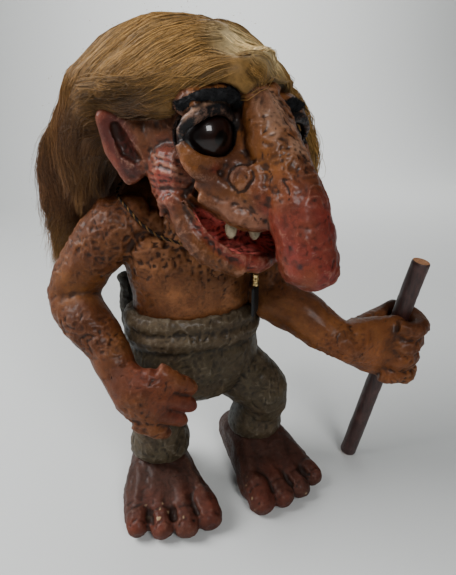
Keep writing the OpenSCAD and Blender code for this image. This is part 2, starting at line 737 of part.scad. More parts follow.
// A long lock falls behind the right shoulder.
module right_lock_form() {
    low = hair_h - lock_l;
    limb([[[-20, 20, eye_h + 20], 8, 7], [[-20.5, 29, eye_h + 8], 13, 9], [[-21.5, 38.5, eye_h - 7], 16, 8.5],
        [[-24, 46, eye_h - 22], 15, 7], [[-27.5, 50, low + 12], 10, 5.5], [[-28.5, 49.5, low], 5, 3]],
        side = [-0.9, 0.42, 0], sides = 12);
}
module back_lock_form() {
    limb([[[4, 24, eye_h + 18], 14, 7], [[4, 36, eye_h + 8], 19, 9], [[4, 46, eye_h - 8], 20, 9],
        [[3, 50, eye_h - 24], 18, 7], [[2, 49, eye_h - 35], 12, 4]], side = [1, 0, 0], sides = 14);
}
module left_lock_form() {
    w = head_w / 2;
    limb([[[w - 2, -6, eye_h + 19], 6, 5], [[w + 8, -15, eye_h + 12], 6, 3.5], [[w + 14, -19, eye_h + 3], 6, 3],
        [[w + 17, -21, eye_h - 8], 6, 2.5], [[w + 17, -22, eye_h - 15], 5, 2], [[w + 16, -22, eye_h - 20], 3, 1.5]],
        side = [-0.5, 1, 0], sides = 10);
}
module wig_right_lock() {
    color("#7e5432") on_neck() casting() difference() {
        right_lock_form();
        crown_form();
        head_form();
    }
}
module wig_back_lock() {
    color("#8a6038") on_neck() casting() difference() {
        back_lock_form();
        crown_form();
        right_lock_form();
        head_form();
    }
}
module wig_left_lock() {
    color("#b39260") on_neck() casting() difference() {
        left_lock_form();
        crown_form();
        head_form();
    }
}

// ---- Stick ----

module stick() {
    color("#3b2020") rod(stick_foot, stick_foot + stick_dir * stick_l, stick_d);
}

module placed() {
    translate([origin_x, origin_y, 0]) children();
}

placed() torso();
placed() right_arm();
placed() right_hand();
placed() left_arm();
placed() left_fist();
placed() trousers_seat();
placed() waistband();
placed() right_trouser_leg();
placed() left_trouser_leg();
placed() right_foot();
placed() left_foot();
placed() tail();
placed() neck_dowel();
placed() shoulder_wire();
placed() right_leg_wire();
placed() left_leg_wire();
placed() neck_cord();
placed() cord_ferrule();
placed() cord_tag();
placed() head();
placed() right_eye();
placed() left_eye();
placed() right_brow();
placed() left_brow();
placed() right_tooth();
placed() left_tooth();
placed() wig_crown();
placed() wig_fringe();
placed() wig_right_lock();
placed() wig_back_lock();
placed() wig_left_lock();
placed() stick();
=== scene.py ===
"""A hand-painted folk troll figurine with a wool wig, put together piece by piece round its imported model."""
import json
import math
import bmesh
import bpy
import numpy as np
from mathutils import Matrix, Vector
from mathutils.bvhtree import BVHTree

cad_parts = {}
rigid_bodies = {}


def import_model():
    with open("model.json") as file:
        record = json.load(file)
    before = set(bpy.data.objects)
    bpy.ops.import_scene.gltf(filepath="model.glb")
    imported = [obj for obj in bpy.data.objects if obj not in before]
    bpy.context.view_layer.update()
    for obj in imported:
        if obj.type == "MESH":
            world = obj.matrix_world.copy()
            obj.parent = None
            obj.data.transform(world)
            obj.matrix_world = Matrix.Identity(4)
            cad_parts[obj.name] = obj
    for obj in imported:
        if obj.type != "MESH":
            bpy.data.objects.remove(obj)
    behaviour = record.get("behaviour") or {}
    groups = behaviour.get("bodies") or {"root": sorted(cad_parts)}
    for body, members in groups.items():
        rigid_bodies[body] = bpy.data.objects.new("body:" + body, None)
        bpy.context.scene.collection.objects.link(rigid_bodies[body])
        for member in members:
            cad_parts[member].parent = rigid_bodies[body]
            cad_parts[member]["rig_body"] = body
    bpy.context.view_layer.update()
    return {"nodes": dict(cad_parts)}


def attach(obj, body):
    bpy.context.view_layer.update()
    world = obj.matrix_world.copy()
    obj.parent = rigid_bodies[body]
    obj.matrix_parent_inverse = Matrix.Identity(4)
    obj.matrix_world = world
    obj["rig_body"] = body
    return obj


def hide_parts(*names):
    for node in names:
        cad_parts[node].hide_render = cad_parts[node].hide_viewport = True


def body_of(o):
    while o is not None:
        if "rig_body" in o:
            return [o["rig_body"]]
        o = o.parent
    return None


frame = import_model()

# ---- Studio ----
# The figurine stands on a plain pale table that sweeps up into a wall. The camera looks down on it from the
# front, a little to its right. A soft window lights it from the left, a lamp from the front, and another
# lamp lights the wall.

MM = 0.001
# The figure's own frame, in which its maker measures, starts from this point of the row's frame.
FOOT_POINT = np.array([-16.0, 6.3, 0.0])
TABLE_RGB = (0.62, 0.635, 0.625)
TABLE_FRONT, TABLE_BACK, TABLE_SIDE = -3.0, 0.75, 4.0
SWEEP_R, WALL_TOP = 0.5, 3.0
ROOM_RGB = (0.88, 0.91, 0.95)
WINDOW_WAY = (-0.7, 0.3, 0.65)
LAMPS = (("window", (-0.48, 0.12, 0.5), (0, 0, 0.08), 0.38, 7.0),
         ("background", (0.45, 0.7, 0.85), (0.7, 1.3, 0.2), 0.8, 12.0),
         ("fill", (0.0, -0.8, 0.64), (0, 0, 0.08), 0.3, 5.0))

camera = bpy.data.objects.new("camera", bpy.data.cameras.new("camera"))
bpy.context.scene.collection.objects.link(camera)
camera.data.sensor_width = 36
camera.data.lens = 31.3
camera.data.clip_start = 0.01
camera.location = (-0.0741, -0.1854, 0.168)
camera.rotation_euler = (math.radians(70), 0, math.radians(-20))
bpy.context.scene.camera = camera


def feed(tree, node, inputs):
    """Sets each of a node's inputs to a value, or links it to another node's output."""
    for title, value in inputs.items():
        if isinstance(value, bpy.types.NodeSocket):
            tree.links.new(value, node.inputs[title])
        else:
            node.inputs[title].default_value = value


def place_node(tree, kind, inputs=None, **settings):
    """Adds a shader node, sets its properties and feeds its inputs."""
    n = tree.nodes.new("ShaderNode" + kind)
    for title, value in settings.items():
        setattr(n, title, value)
    feed(tree, n, inputs or {})
    return n


def spread(tree, value, low, high, to_low=0.0, to_high=1.0):
    """A value between low and high, spread over another range."""
    return place_node(tree, "MapRange", {"Value": value, "From Min": low, "From Max": high, "To Min": to_low,
                                         "To Max": to_high}).outputs["Result"]


def new_finish(name):
    """A material, with its node tree."""
    m = bpy.data.materials.new(name)
    m.use_nodes = True
    return m, m.node_tree


def shade(tree, inputs):
    """Feeds the inputs of a material's own shader."""
    feed(tree, tree.nodes["Principled BSDF"], inputs)


def add_mesh(name, points, faces, material=None):
    """A smooth mesh object from points in metres and faces."""
    data = bpy.data.meshes.new(name)
    corners = faces if isinstance(faces, list) else faces.tolist()
    data.from_pydata(np.asarray(points, float).tolist(), [], corners)
    data.update()
    data.polygons.foreach_set("use_smooth", [True] * len(data.polygons))
    o = bpy.data.objects.new(name, data)
    bpy.context.scene.collection.objects.link(o)
    if material:
        data.materials.append(material)
    return o


def figure(*p):
    """A point of the row's frame, in metres, from millimetres in the figure's own frame."""
    return (np.array(p, float) + FOOT_POINT) * MM


profile = [(TABLE_FRONT, 0.0), (TABLE_BACK, 0.0)]
profile += [(TABLE_BACK + SWEEP_R * math.sin(a), SWEEP_R * (1 - math.cos(a)))
            for a in np.radians(range(3, 91, 3))]
profile += [(TABLE_BACK + SWEEP_R, WALL_TOP)]
table_paint, tree = new_finish("table_paint")
shade(tree, {"Base Color": (*TABLE_RGB, 1), "Roughness": 0.6})
sweep = add_mesh("table", [(x, y, z) for y, z in profile for x in (-TABLE_SIDE, TABLE_SIDE)],
                 [[2 * i, 2 * i + 1, 2 * i + 3, 2 * i + 2] for i in range(len(profile) - 1)], table_paint)

# The room is brighter towards the window, at the upper left.
world = bpy.data.worlds.new("room")
bpy.context.scene.world = world
world.use_nodes = True
sky = world.node_tree
facing = place_node(sky, "TexCoord").outputs["Generated"]
toward = place_node(sky, "VectorMath", {0: facing, 1: WINDOW_WAY}, operation="DOT_PRODUCT").outputs["Value"]
feed(sky, sky.nodes["Background"], {"Color": (*ROOM_RGB, 1),
                                    "Strength": spread(sky, toward, -0.5, 0.95, 0.03, 0.27)})

for name, place, aim, size, power in LAMPS:
    lamp = bpy.data.objects.new(name, bpy.data.lights.new(name, "AREA"))
    bpy.context.scene.collection.objects.link(lamp)
    lamp.data.size = size
    lamp.data.energy = power
    lamp.location = place
    lamp.rotation_euler = (Vector(aim) - Vector(place)).to_track_quat("-Z", "Y").to_euler()

# ---- Neck cord ----
# Two black strands and a gold one, twisted into one thin cord. It hangs round the neck, both of its ends go
# into a crimped brass ferrule, and a small blank card tag hangs under that.

LAY_MM = 3.4
STRAND_R = 0.33
STRAND_OFF = 0.27
CORD_STEP = 0.28
CORD_ROUTE = [(17.7, -16.7, 104.5), (18, -14.6, 107.5), (19.5, -12.2, 111.5), (22.6, -10, 116.5),
              (24, -9.8, 120.5), (25.2, -8.6, 124), (25.9, -6.2, 127), (25.6, -2.2, 130.2),
              (24.6, 3.5, 131.8), (21.5, 9, 132), (16.5, 12.5, 133), (11.5, 15, 135.5), (6, 18.2, 138.5),
              (-3, 20, 139.2), (-14, 20, 139.8), (-22.8, 17.8, 140.3), (-28.3, 13.2, 139.6),
              (-31.4, 8, 137.2), (-32.2, 2.5, 135.8), (-31.5, -2.5, 134.2), (-29.2, -6.8, 131),
              (-26, -9.4, 126.8), (-20, -12.8, 122.2), (-13, -16.2, 119.8), (-8.5, -18, 117.5),
              (-3, -17.6, 113.8), (4, -17.6, 110), (10, -16.8, 107), (14.5, -16.4, 105.4),
              (17, -16.9, 104.5)]
FERRULE_TOP = (17.3, -16.8, 104.6)
FERRULE_D, FERRULE_L = 2.6, 5.0
CRIMP, CRIMP_WIDE = 0.16, 0.07
TAG_H, TAG_W, TAG_T, TAG_TURN = 12.0, 9.0, 1.2, -35.0


def curve_through(points, n):
    """A smooth curve through points, with n steps between each two of them."""
    P = np.array(points, float)
    P = np.vstack([2 * P[0] - P[1], P, 2 * P[-1] - P[-2]])
    out = []
    for a, b, c, d in zip(P, P[1:], P[2:], P[3:]):
        for t in np.arange(n) / n:
            out.append(0.5 * (2 * b + (c - a) * t + (2 * a - 5 * b + 4 * c - d) * t * t
                              + (3 * b - a - 3 * c + d) * t ** 3))
    return np.array(out + [P[-2]])


def even_steps(points, step):
    """The same curve with its points step apart."""
    run = np.concatenate([[0], np.cumsum(np.linalg.norm(np.diff(points, axis=0), axis=1))])
    s = np.linspace(0, run[-1], max(2, round(run[-1] / step)) + 1)
    return np.stack([np.interp(s, run, points[:, k]) for k in range(3)], 1)


def unit(v, tiny=0.0):
    """Directions of length 1. A tiny number keeps those of no length from a division by zero."""
    return v / (np.linalg.norm(v, axis=-1)[..., None] + tiny)


def carried_frame(points):
    """Two directions across a curve at each of its points, which don't spin about it."""
    T = unit(np.gradient(points, axis=0))
    u = np.cross(T[0], (0.3, 0.2, 1.0))
    across = []
    for t in T:
        u = u - t * (u @ t)
        u = u / np.linalg.norm(u)
        across.append(u)
    return np.array(across), np.cross(T, across)


def tube(points, radii, sides):
    """Points and faces of a closed tube along a curve."""
    n = len(points)
    U, V = carried_frame(points)
    a = 2 * math.pi * np.arange(sides) / sides
    R = np.broadcast_to(np.asarray(radii, float), (n,))[:, None, None]
    ring = points[:, None] + R * (np.cos(a)[:, None] * U[:, None] + np.sin(a)[:, None] * V[:, None])
    i = np.arange((n - 1) * sides).reshape(n - 1, sides)
    j = np.roll(i, -1, 1)
    walls = np.stack([i, j, j + sides, i + sides], -1).reshape(-1, 4).tolist()
    return ring.reshape(-1, 3), walls + [list(range(sides))[::-1], list(range((n - 1) * sides, n * sides))]


def joined(parts):
    """Points and faces of several meshes as those of one."""
    faces, first = [], 0
    for p, f in parts:
        faces += [[i + first for i in face] for face in f]
        first += len(p)
    return np.vstack([p for p, f in parts]), faces


def noise(tree, scale, detail, roughness=0.5, distortion=0.0, at=None):
    """Noise over an object's own coordinates, or over others."""
    at = at or place_node(tree, "TexCoord").outputs["Object"]
    return place_node(tree, "TexNoise", {"Vector": at, "Scale": scale, "Detail": detail,
                                         "Roughness": roughness, "Distortion": distortion}).outputs["Fac"]


def blend(tree, amount, a, b, kind="MIX"):
    """Colour a with an amount of colour b over it."""
    return place_node(tree, "Mix", {"Factor": amount, "A": a, "B": b}, data_type="RGBA",
                      blend_type=kind).outputs["Result"]


def ramp(tree, value, ends, between=()):
    """A colour for a value, from stops that each have a position and a colour."""
    n = place_node(tree, "ValToRGB", {"Fac": value})
    for stop, (position, rgb) in zip(n.color_ramp.elements, ends):
        stop.position = position
        stop.color = (*rgb, 1)
    for position, rgb in between:
        n.color_ramp.elements.new(position).color = (*rgb, 1)
    return n.outputs["Color"]


def bump(tree, height, strength, distance):
    """A relief that only the light sees."""
    return place_node(tree, "Bump", {"Height": height, "Strength": strength,
                                     "Distance": distance}).outputs["Normal"]


def new_group(name, inputs, outputs):
    """A shader group with its sockets. A tuple is a colour, and any other value is a plain number."""
    g = bpy.data.node_groups.new(name, "ShaderNodeTree")
    for title, value in inputs.items():
        kind = "NodeSocketColor" if isinstance(value, tuple) else "NodeSocketFloat"
        g.interface.new_socket(name=title, in_out="INPUT", socket_type=kind).default_value = value
    for title in outputs:
        kind = "NodeSocketColor" if title == "Color" else "NodeSocketFloat"
        g.interface.new_socket(name=title, in_out="OUTPUT", socket_type=kind)
    return g, g.nodes.new("NodeGroupInput").outputs, g.nodes.new("NodeGroupOutput")


def fibre_group():
    """The shader group that thread, card, fur and bare wood share: lighter streaks and a fine fuzz."""
    g, own, out = new_group("streaked_fibre", {"Dark": (0.0, 0.0, 0.0, 1), "Light": (1.0, 1.0, 1.0, 1),
                                               "Scale": 3000.0}, ("Color", "Height"))
    fuzz = noise(g, own["Scale"], 4.0, 0.65)
    feed(g, out, {"Color": blend(g, fuzz, own["Dark"], own["Light"]), "Height": fuzz})
    return g


streaked_fibre = fibre_group()


def fibre_finish(name, dark, light, scale, roughness, metallic=0.0):
    """Twisted or felted fibre with a fine fuzzy bump."""
    m, tree = new_finish(name)
    fibre = place_node(tree, "Group", {"Dark": (*dark, 1), "Light": (*light, 1), "Scale": scale},
                       node_tree=streaked_fibre).outputs
    shade(tree, {"Base Color": fibre["Color"], "Normal": bump(tree, fibre["Height"], 0.5, 0.0002),
                 "Roughness": roughness, "Specular IOR Level": 0.2, "Metallic": metallic})
    return m


def brass_finish():
    """Old brass: yellow metal with darker brown specks of tarnish."""
    m, tree = new_finish("old_brass")
    specks = ramp(tree, noise(tree, 900.0, 5.0), ((0.38, (0.18, 0.1, 0.03)), (0.6, (0.83, 0.62, 0.28))))
    shade(tree, {"Base Color": specks, "Metallic": 1.0, "Roughness": 0.32})
    return m


route = np.array([figure(*p) for p in curve_through(CORD_ROUTE, 8)])
fine_route = even_steps(route, CORD_STEP * MM)
cord_u, cord_v = carried_frame(fine_route)
twist = 2 * math.pi * CORD_STEP * np.arange(len(fine_route)) / LAY_MM
strands = []
for k in range(3):
    a = twist + 2 * math.pi * k / 3
    line = fine_route + STRAND_OFF * MM * (np.cos(a)[:, None] * cord_u + np.sin(a)[:, None] * cord_v)
    strands.append(tube(line, STRAND_R * MM, 6))
black_thread = fibre_finish("black_thread", (0.004, 0.003, 0.002), (0.016, 0.009, 0.006), 3000, 0.75)
gold_thread = fibre_finish("gold_thread", (0.1, 0.045, 0.015), (0.28, 0.15, 0.05), 3000, 0.45, metallic=0.8)
cord = add_mesh("neck_cord_twisted", *joined(strands), black_thread)
cord.data.materials.append(gold_thread)
cord.data.polygons.foreach_set("material_index", [int(k == 2) for k in range(3) for face in strands[k][1]])

# The ferrule is a short brass tube, crimped flat in two places.
ferrule_down = np.linspace(0, 1, 15)
ferrule_r = FERRULE_D / 2 * (1 - CRIMP * np.exp(-((ferrule_down - 0.3) / CRIMP_WIDE) ** 2)
                             - CRIMP * np.exp(-((ferrule_down - 0.68) / CRIMP_WIDE) ** 2))
ferrule_line = np.array([figure(*FERRULE_TOP) - (0, 0, FERRULE_L * MM * t) for t in ferrule_down])
ferrule = add_mesh("cord_ferrule_crimped", *tube(ferrule_line, ferrule_r * MM, 20), brass_finish())

# The tag is a blank black card with soft worn edges.
tag_mesh = bmesh.new()
bmesh.ops.create_cube(tag_mesh, size=1)
bmesh.ops.scale(tag_mesh, vec=(TAG_T * MM, TAG_W * MM, TAG_H * MM), verts=tag_mesh.verts)
bmesh.ops.bevel(tag_mesh, geom=tag_mesh.edges[:], offset=0.3 * MM, segments=3, affect="EDGES")
tag_at = figure(*FERRULE_TOP) - (0, 0, (FERRULE_L + TAG_H / 2) * MM)
bmesh.ops.transform(tag_mesh, verts=tag_mesh.verts, matrix=Matrix.Translation(tag_at)
                    @ Matrix.Rotation(math.radians(TAG_TURN), 4, "Z"))
tag = add_mesh("cord_tag_card", [], [],
               fibre_finish("black_card", (0.008, 0.008, 0.009), (0.03, 0.03, 0.03), 1400, 0.55))
tag_mesh.to_mesh(tag.data)
tag_mesh.free()

for piece, node, finish in ((cord, "neck_cord", "twisted_cord"), (ferrule, "cord_ferrule", "brass_ferrule"),
                            (tag, "cord_tag", "black_card")):
    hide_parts(node)
    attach(piece, "figure")

# ---- Chest, arms and hands ----
# Cast composition under brown paint and satin lacquer. The modeller crumpled and scored the surface by hand
# before it was cast, then the painter laid dark glaze into the hollows and brushed light over the ridges. The
# glaze also serves as painted shade, and the light on the ridges as painted highlights.

SKIN_RGB = (0.1, 0.031, 0.009)
CHEST_PAINTED_LIGHT_RGB = (0.32, 0.13, 0.05)
OCHRE_RGB = (0.19, 0.072, 0.018)
RED_BROWN_RGB = (0.16, 0.03, 0.02)
FIST_ORANGE_AND_LIGHT_RGB = (0.3, 0.1, 0.03)
TINY = 1e-12


def lattice(cell, seed):
    """A random number from -1 to 1 for each cell of a lattice, hashed from its three indices."""
    h = (cell[:, 0] * 73856093) ^ (cell[:, 1] * 19349663) ^ (cell[:, 2] * 83492791) ^ (seed * 2654435761)
    for shift, factor in ((15, 2246822519), (13, 3266489917)):
        h = h & 0xFFFFFFFF
        h = (h ^ (h >> shift)) * factor
    h = h & 0xFFFFFFFF
    return (h ^ (h >> 16)) / 2 ** 31 - 1


def lumps(p, size, seed):
    """Smooth noise from -1 to 1 at points p, with lumps about size across."""
    q = p / size
    cell = np.floor(q).astype(np.int64)
    f = q - cell
    f = f * f * f * (f * (f * 6 - 15) + 10)
    total = np.zeros(len(p))
    for corner in np.ndindex(2, 2, 2):
        x, y, z = (f[:, k] if c else 1 - f[:, k] for k, c in enumerate(corner))
        total += x * y * z * lattice(cell + corner, seed)
    return total


def stirred(p, size, seed, wide, far):
    """Points p, moved about by lumps that are wide sizes across, by up to far sizes."""
    return p + np.stack([lumps(p, size * wide, seed + k) for k in (1, 2, 3)], 1) * size * far


def crumple(p, size, seed):
    """The ridges of crumpled paper, from 0 to 1, with folds about size apart."""
    return (1 - np.abs(lumps(stirred(p, size, seed, 1.7, 0.8), size, seed))) ** 3


def creases(p, size, seed):
    """Short narrow cracks about size apart: 1 in a crack, 0 away from one."""
    q = stirred(p, size, seed, 1.3, 0.6)
    cracks = np.exp(-(lumps(q, size * 1.3, seed) / 0.09) ** 2)
    return cracks * np.clip(0.3 + 1.6 * lumps(q, size * 0.9, seed + 4), 0, 1)


class Clay:
    """A modelled mesh: its points, faces, edges, normals and paint."""

    def __init__(self, meshes, voxel, relax):
        """Joins closed meshes (points in metres, faces) into one skin and rubs it smooth."""
        o = add_mesh("clay", *joined(meshes))
        m = o.modifiers.new("skin", "REMESH")
        m.mode = "VOXEL"
        m.voxel_size = voxel * MM
        got = bpy.data.meshes.new_from_object(o.evaluated_get(bpy.context.evaluated_depsgraph_get()))
        self.co = np.empty(len(got.vertices) * 3)
        got.vertices.foreach_get("co", self.co)
        self.co = self.co.reshape(-1, 3)
        quads = np.empty(len(got.loops), np.int64)
        got.loops.foreach_get("vertex_index", quads)
        self.faces = quads.reshape(-1, 4)
        edges = np.empty(len(got.edges) * 2, np.int64)
        got.edges.foreach_get("vertices", edges)
        self.edges = edges.reshape(-1, 2)
        self.ties = np.bincount(self.edges.ravel(), minlength=len(self.co))
        old = o.data
        bpy.data.objects.remove(o)
        bpy.data.meshes.remove(old)
        bpy.data.meshes.remove(got)
        self.co = self.rubbed(relax)
        # Where the points lay before any modelling, in the figure's frame
        self.mm = self.co / MM - FOOT_POINT
        self.paint = np.zeros((len(self.co), 3))
        self.turn_normals()

    def rubbed(self, times):
        """The points after each has moved some times towards the mean of its neighbours."""
        a, b = self.edges.T
        values = self.co
        for _ in range(times):
            around = np.empty_like(values)
            for k in range(3):
                v = values[:, k]
                around[:, k] = np.bincount(a, v[b], len(v)) + np.bincount(b, v[a], len(v))
            values = values + 0.6 * (around / self.ties[:, None] - values)
        return values

    def turn_normals(self):
        """Works out the direction in which each point faces."""
        q = self.co[self.faces]
        n = np.cross(q[:, 2] - q[:, 0], q[:, 3] - q[:, 1])
        self.normal = np.zeros_like(self.co)
        for k in range(4):
            for c in range(3):
                self.normal[:, c] += np.bincount(self.faces[:, k], n[:, c], len(self.co))
        self.normal = unit(self.normal, TINY)

    def push(self, height):
        """Moves the surface out by height, in millimetres."""
        self.co = self.co + self.normal * (height * MM)[:, None]
        self.turn_normals()

    def from_line(self, line, reach):
        """How far each point is from a line through points in the figure's frame. Far ones get reach."""
        line = np.array(line, float)
        best = np.full(len(self.mm), float(reach))
        low, high = line.min(0) - reach, line.max(0) + reach
        close = np.flatnonzero(((self.mm > low) & (self.mm < high)).all(1))
        p = self.mm[close]
        for a, b in zip(line, line[1:]) if len(line) > 1 else [(line[0], line[0])]:
            ab = b - a
            t = np.clip(((p - a) @ ab) / max(ab @ ab, 1e-9), 0, 1)
            best[close] = np.minimum(best[close], np.linalg.norm(p - a - t[:, None] * ab, axis=1))
        return best

    def score(self, line, width, depth):
        """Presses a groove (or raises a ridge, when depth is negative) along a line."""
        d = self.from_line(line, width * 3)
        self.push(-depth * np.exp(-(d / width) ** 2) * (d < width * 3))

    def tree(self):
        """The surface as it is now, ready to be searched."""
        return BVHTree.FromPolygons(self.co.tolist(), self.faces.tolist())

    def laid(self, line):
        """A line through points of the figure's frame, laid on the surface."""
        tree = self.tree()
        touched = [tree.find_nearest(Vector(figure(*p)))[0] for p in curve_through(line, 4)]
        return [np.array(p) / MM - FOOT_POINT for p in touched]

    def hollows(self):
        """How deep each point lies in its surroundings, from -1 on a ridge to 1 in a crease."""
        full = 0.22 * MM
        return np.clip(((self.rubbed(6) - self.co) * self.normal).sum(1) / full, -1, 1)

    def coat(self, rgb, amount=1.0):
        """Lays paint over the surface, by the amount at each point."""
        a = np.broadcast_to(np.asarray(amount, float), (len(self.co),))[:, None]
        self.paint = self.paint * (1 - a) + np.array(rgb, float) * a


def clay_roll(points, radii, sides=12):
    """A roll of clay along points of the figure's frame, tapered by radii."""
    line = curve_through(points, 5)
    r = np.interp(np.linspace(0, len(points) - 1, len(line)), range(len(points)), radii)
    return tube((line + FOOT_POINT) * MM, r * MM, sides)


def solid(node):
    """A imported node's points and faces, in metres, with its split points joined again."""
    bm = bmesh.new()
    bm.from_mesh(frame["nodes"][node].data)
    bmesh.ops.remove_doubles(bm, verts=bm.verts, dist=1e-7)
    bm.verts.ensure_lookup_table()
    got = (np.array([v.co for v in bm.verts]), [[v.index for v in f.verts] for f in bm.faces])
    bm.free()
    return got


def solid_tree(node):
    """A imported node's surface, ready to be searched."""
    points, faces = solid(node)
    return BVHTree.FromPolygons(points.tolist(), faces)


def keep_on(mesh, title, values):
    """Stores a number or a colour for each point of a mesh, where a material reads it."""
    colours = values.ndim == 2
    if colours:
        values = np.c_[values, np.ones(len(values))]
    a = mesh.attributes.new(title, "FLOAT_COLOR" if colours else "FLOAT", "POINT")
    a.data.foreach_set("color" if colours else "value", values.astype(np.float32).ravel())


def cut_apart(clay, nodes, material, names):
    """Splits one modelled skin at its nodes' borders into closed pieces, which ride as their nodes do."""
    owner = np.zeros(len(clay.faces), int)
    if len(nodes) > 1:
        middles = [Vector(c) for c in clay.co[clay.faces].mean(1)]
        owner = np.array([[t.find_nearest(c)[3] for c in middles] for t in map(solid_tree, nodes)]).argmin(0)
    hollow = clay.hollows()
    for k, n in enumerate(nodes):
        used, inverse = np.unique(clay.faces[owner == k], return_inverse=True)
        o = add_mesh(names[k], clay.co[used], inverse.reshape(-1, 4), material)
        keep_on(o.data, "paint", clay.paint[used])
        keep_on(o.data, "hollow", hollow[used])
        bm = bmesh.new()
        bm.from_mesh(o.data)
        rim = [e for e in bm.edges if e.is_boundary]
        for e in rim:
            e.smooth = False
        bmesh.ops.holes_fill(bm, edges=rim, sides=0)
        bmesh.ops.triangulate(bm, faces=[f for f in bm.faces if len(f.verts) > 4])
        bm.to_mesh(o.data)
        bm.free()
        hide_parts(n)
        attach(o, body_of(frame["nodes"][n])[0])


def maths(tree, kind, a, b):
    """A sum, difference or product of two values."""
    return place_node(tree, "Math", {0: a, 1: b}, operation=kind).outputs[0]


def lacquer_group():
    """The shader group that all the painted casting shares: glaze and painted shade in the hollows, dry brush
    and painted highlights on the ridges.
    """
    g, own, out = new_group("aged_lacquer_and_painted_light", {
        "Paint": (0.3, 0.15, 0.08, 1), "Hollow": 0.0, "Glaze And Shade": (0.03, 0.016, 0.01, 1),
        "Brush And Highlight": (0.5, 0.3, 0.2, 1), "Glaze Amount": 0.9, "Ridge Amount": 0.3, "Roughness": 0.4},
        ("Color", "Roughness", "Height"))
    at = place_node(g, "TexCoord").outputs["Object"]
    grain = noise(g, 1700.0, 6.0, 0.75, 0.5, at)
    patches = noise(g, 95.0, 6.0, 0.7, 0.6, at)
    veins = noise(g, 380.0, 7.0, 0.78, 1.4, at)
    paint = own["Paint"]
    # Darker patches, lighter veins and dark specks, each as a share of the paint under it
    for amount, share in ((spread(g, patches, 0.38, 0.62, 0.0, 0.75), (0.45, 0.4, 0.38, 1)),
                          (spread(g, veins, 0.5, 0.68, 0.0, 0.6), (1.5, 1.4, 1.3, 1)),
                          (spread(g, grain, 0.6, 0.7, 0.0, 0.65), (0.3, 0.28, 0.26, 1))):
        paint = blend(g, amount, paint, blend(g, 1.0, paint, share, "MULTIPLY"))
    # Glaze in the hollows and dry brush on the ridges, which also serve as painted shade and painted
    # highlights
    deep = maths(g, "ADD", own["Hollow"], spread(g, veins, 0.3, 0.7, 0.3, -0.3))
    glaze_and_shade_amount = maths(g, "MULTIPLY", spread(g, deep, -0.05, 0.6), own["Glaze Amount"])
    high = maths(g, "SUBTRACT", spread(g, grain, 0.3, 0.6, 0.35, -0.55), own["Hollow"])
    brush_and_highlight_amount = maths(g, "MULTIPLY", spread(g, high, 0.2, 0.8), own["Ridge Amount"])
    paint = blend(g, brush_and_highlight_amount, blend(g, glaze_and_shade_amount, paint, own["Glaze And Shade"]), own["Brush And Highlight"])
    feed(g, out, {"Color": paint,
                  "Roughness": maths(g, "ADD", own["Roughness"], spread(g, veins, 0.3, 0.7, -0.12, 0.2)),
                  "Height": maths(g, "ADD", maths(g, "MULTIPLY", grain, 0.55), veins)})
    return g


aged_lacquer_and_painted_light = lacquer_group()


def kept(tree, title, out):
    """What a mesh stores for each of its points."""
    return place_node(tree, "Attribute", attribute_name=title).outputs[out]


def painted_finish(name, glaze_and_shade, brush_and_highlight, glaze_and_shade_amount, brush_and_highlight_amount, roughness=0.42, coat=0.1, relief=0.42):
    """Painted casting: the paint on its points under aged lacquer, with glaze and painted shade in its hollows
    and painted highlights on its ridges, and a thin clear coat.
    """
    m, tree = new_finish(name)
    aged = place_node(tree, "Group", {
        "Paint": kept(tree, "paint", "Color"), "Hollow": kept(tree, "hollow", "Fac"), "Glaze And Shade": (*glaze_and_shade, 1),
        "Brush And Highlight": (*brush_and_highlight, 1), "Glaze Amount": glaze_and_shade_amount, "Ridge Amount": brush_and_highlight_amount, "Roughness": roughness},
        node_tree=aged_lacquer_and_painted_light).outputs
    shade(tree, {"Base Color": aged["Color"], "Roughness": aged["Roughness"],
                 "Normal": bump(tree, aged["Height"], 1.0, relief * MM), "Coat Weight": coat,
                 "Coat Roughness": 0.22, "Specular IOR Level": 0.15})
    return m


# The modeller filled the hollows between the shoulders and the neck before crumpling the skin.
skin_nodes = ["torso", "right_arm", "right_hand", "left_arm", "left_fist"]
skin = Clay([solid(n) for n in skin_nodes] + [
    clay_roll([(-30, 0, 121), (-24, -1, 123), (-17, -2, 124)], [6, 6.5, 6]),
    clay_roll([(-28, -6, 113), (-24, -7, 116), (-18, -8, 117)], [4, 5.5, 5]),
    clay_roll([(24, 0, 117), (18, -2, 120), (10, -4, 121)], [5, 6, 5])], voxel=0.62, relax=7)
where = skin.mm
back_of_hand = np.clip(1.2 - skin.from_line([(-28, -20, 64), (-14, -27, 52)], 30) / 16, 0, 1)
shoulders = np.clip((where[:, 2] - 96) / 14, 0, 1)
rough_patch = np.clip(0.6 + 0.85 * lumps(where, 17, 5) + 0.4 * lumps(where, 7, 6) + 0.4 * shoulders, 0.1, 1.5)
rough_patch *= 1 - 0.65 * back_of_hand
skin.push(0.7 * lumps(where, 13, 1) + 0.4 * lumps(where, 6, 2))
skin.push(rough_patch * (0.42 * crumple(where, 5, 3) + 0.34 * crumple(where, 2.6, 4)
                         - 0.4 * creases(where, 4.2, 7) + 0.16 * lumps(where, 1.4, 10) - 0.2))
# The cord lies in a shallow groove that it has rubbed.
skin.score(CORD_ROUTE[20:], 1.3, 0.9)
skin.coat(SKIN_RGB)
skin.coat(OCHRE_RGB, np.clip(0.5 * lumps(where, 17, 8) + 0.3 * lumps(where, 5, 9) + 0.15, 0, 0.75))
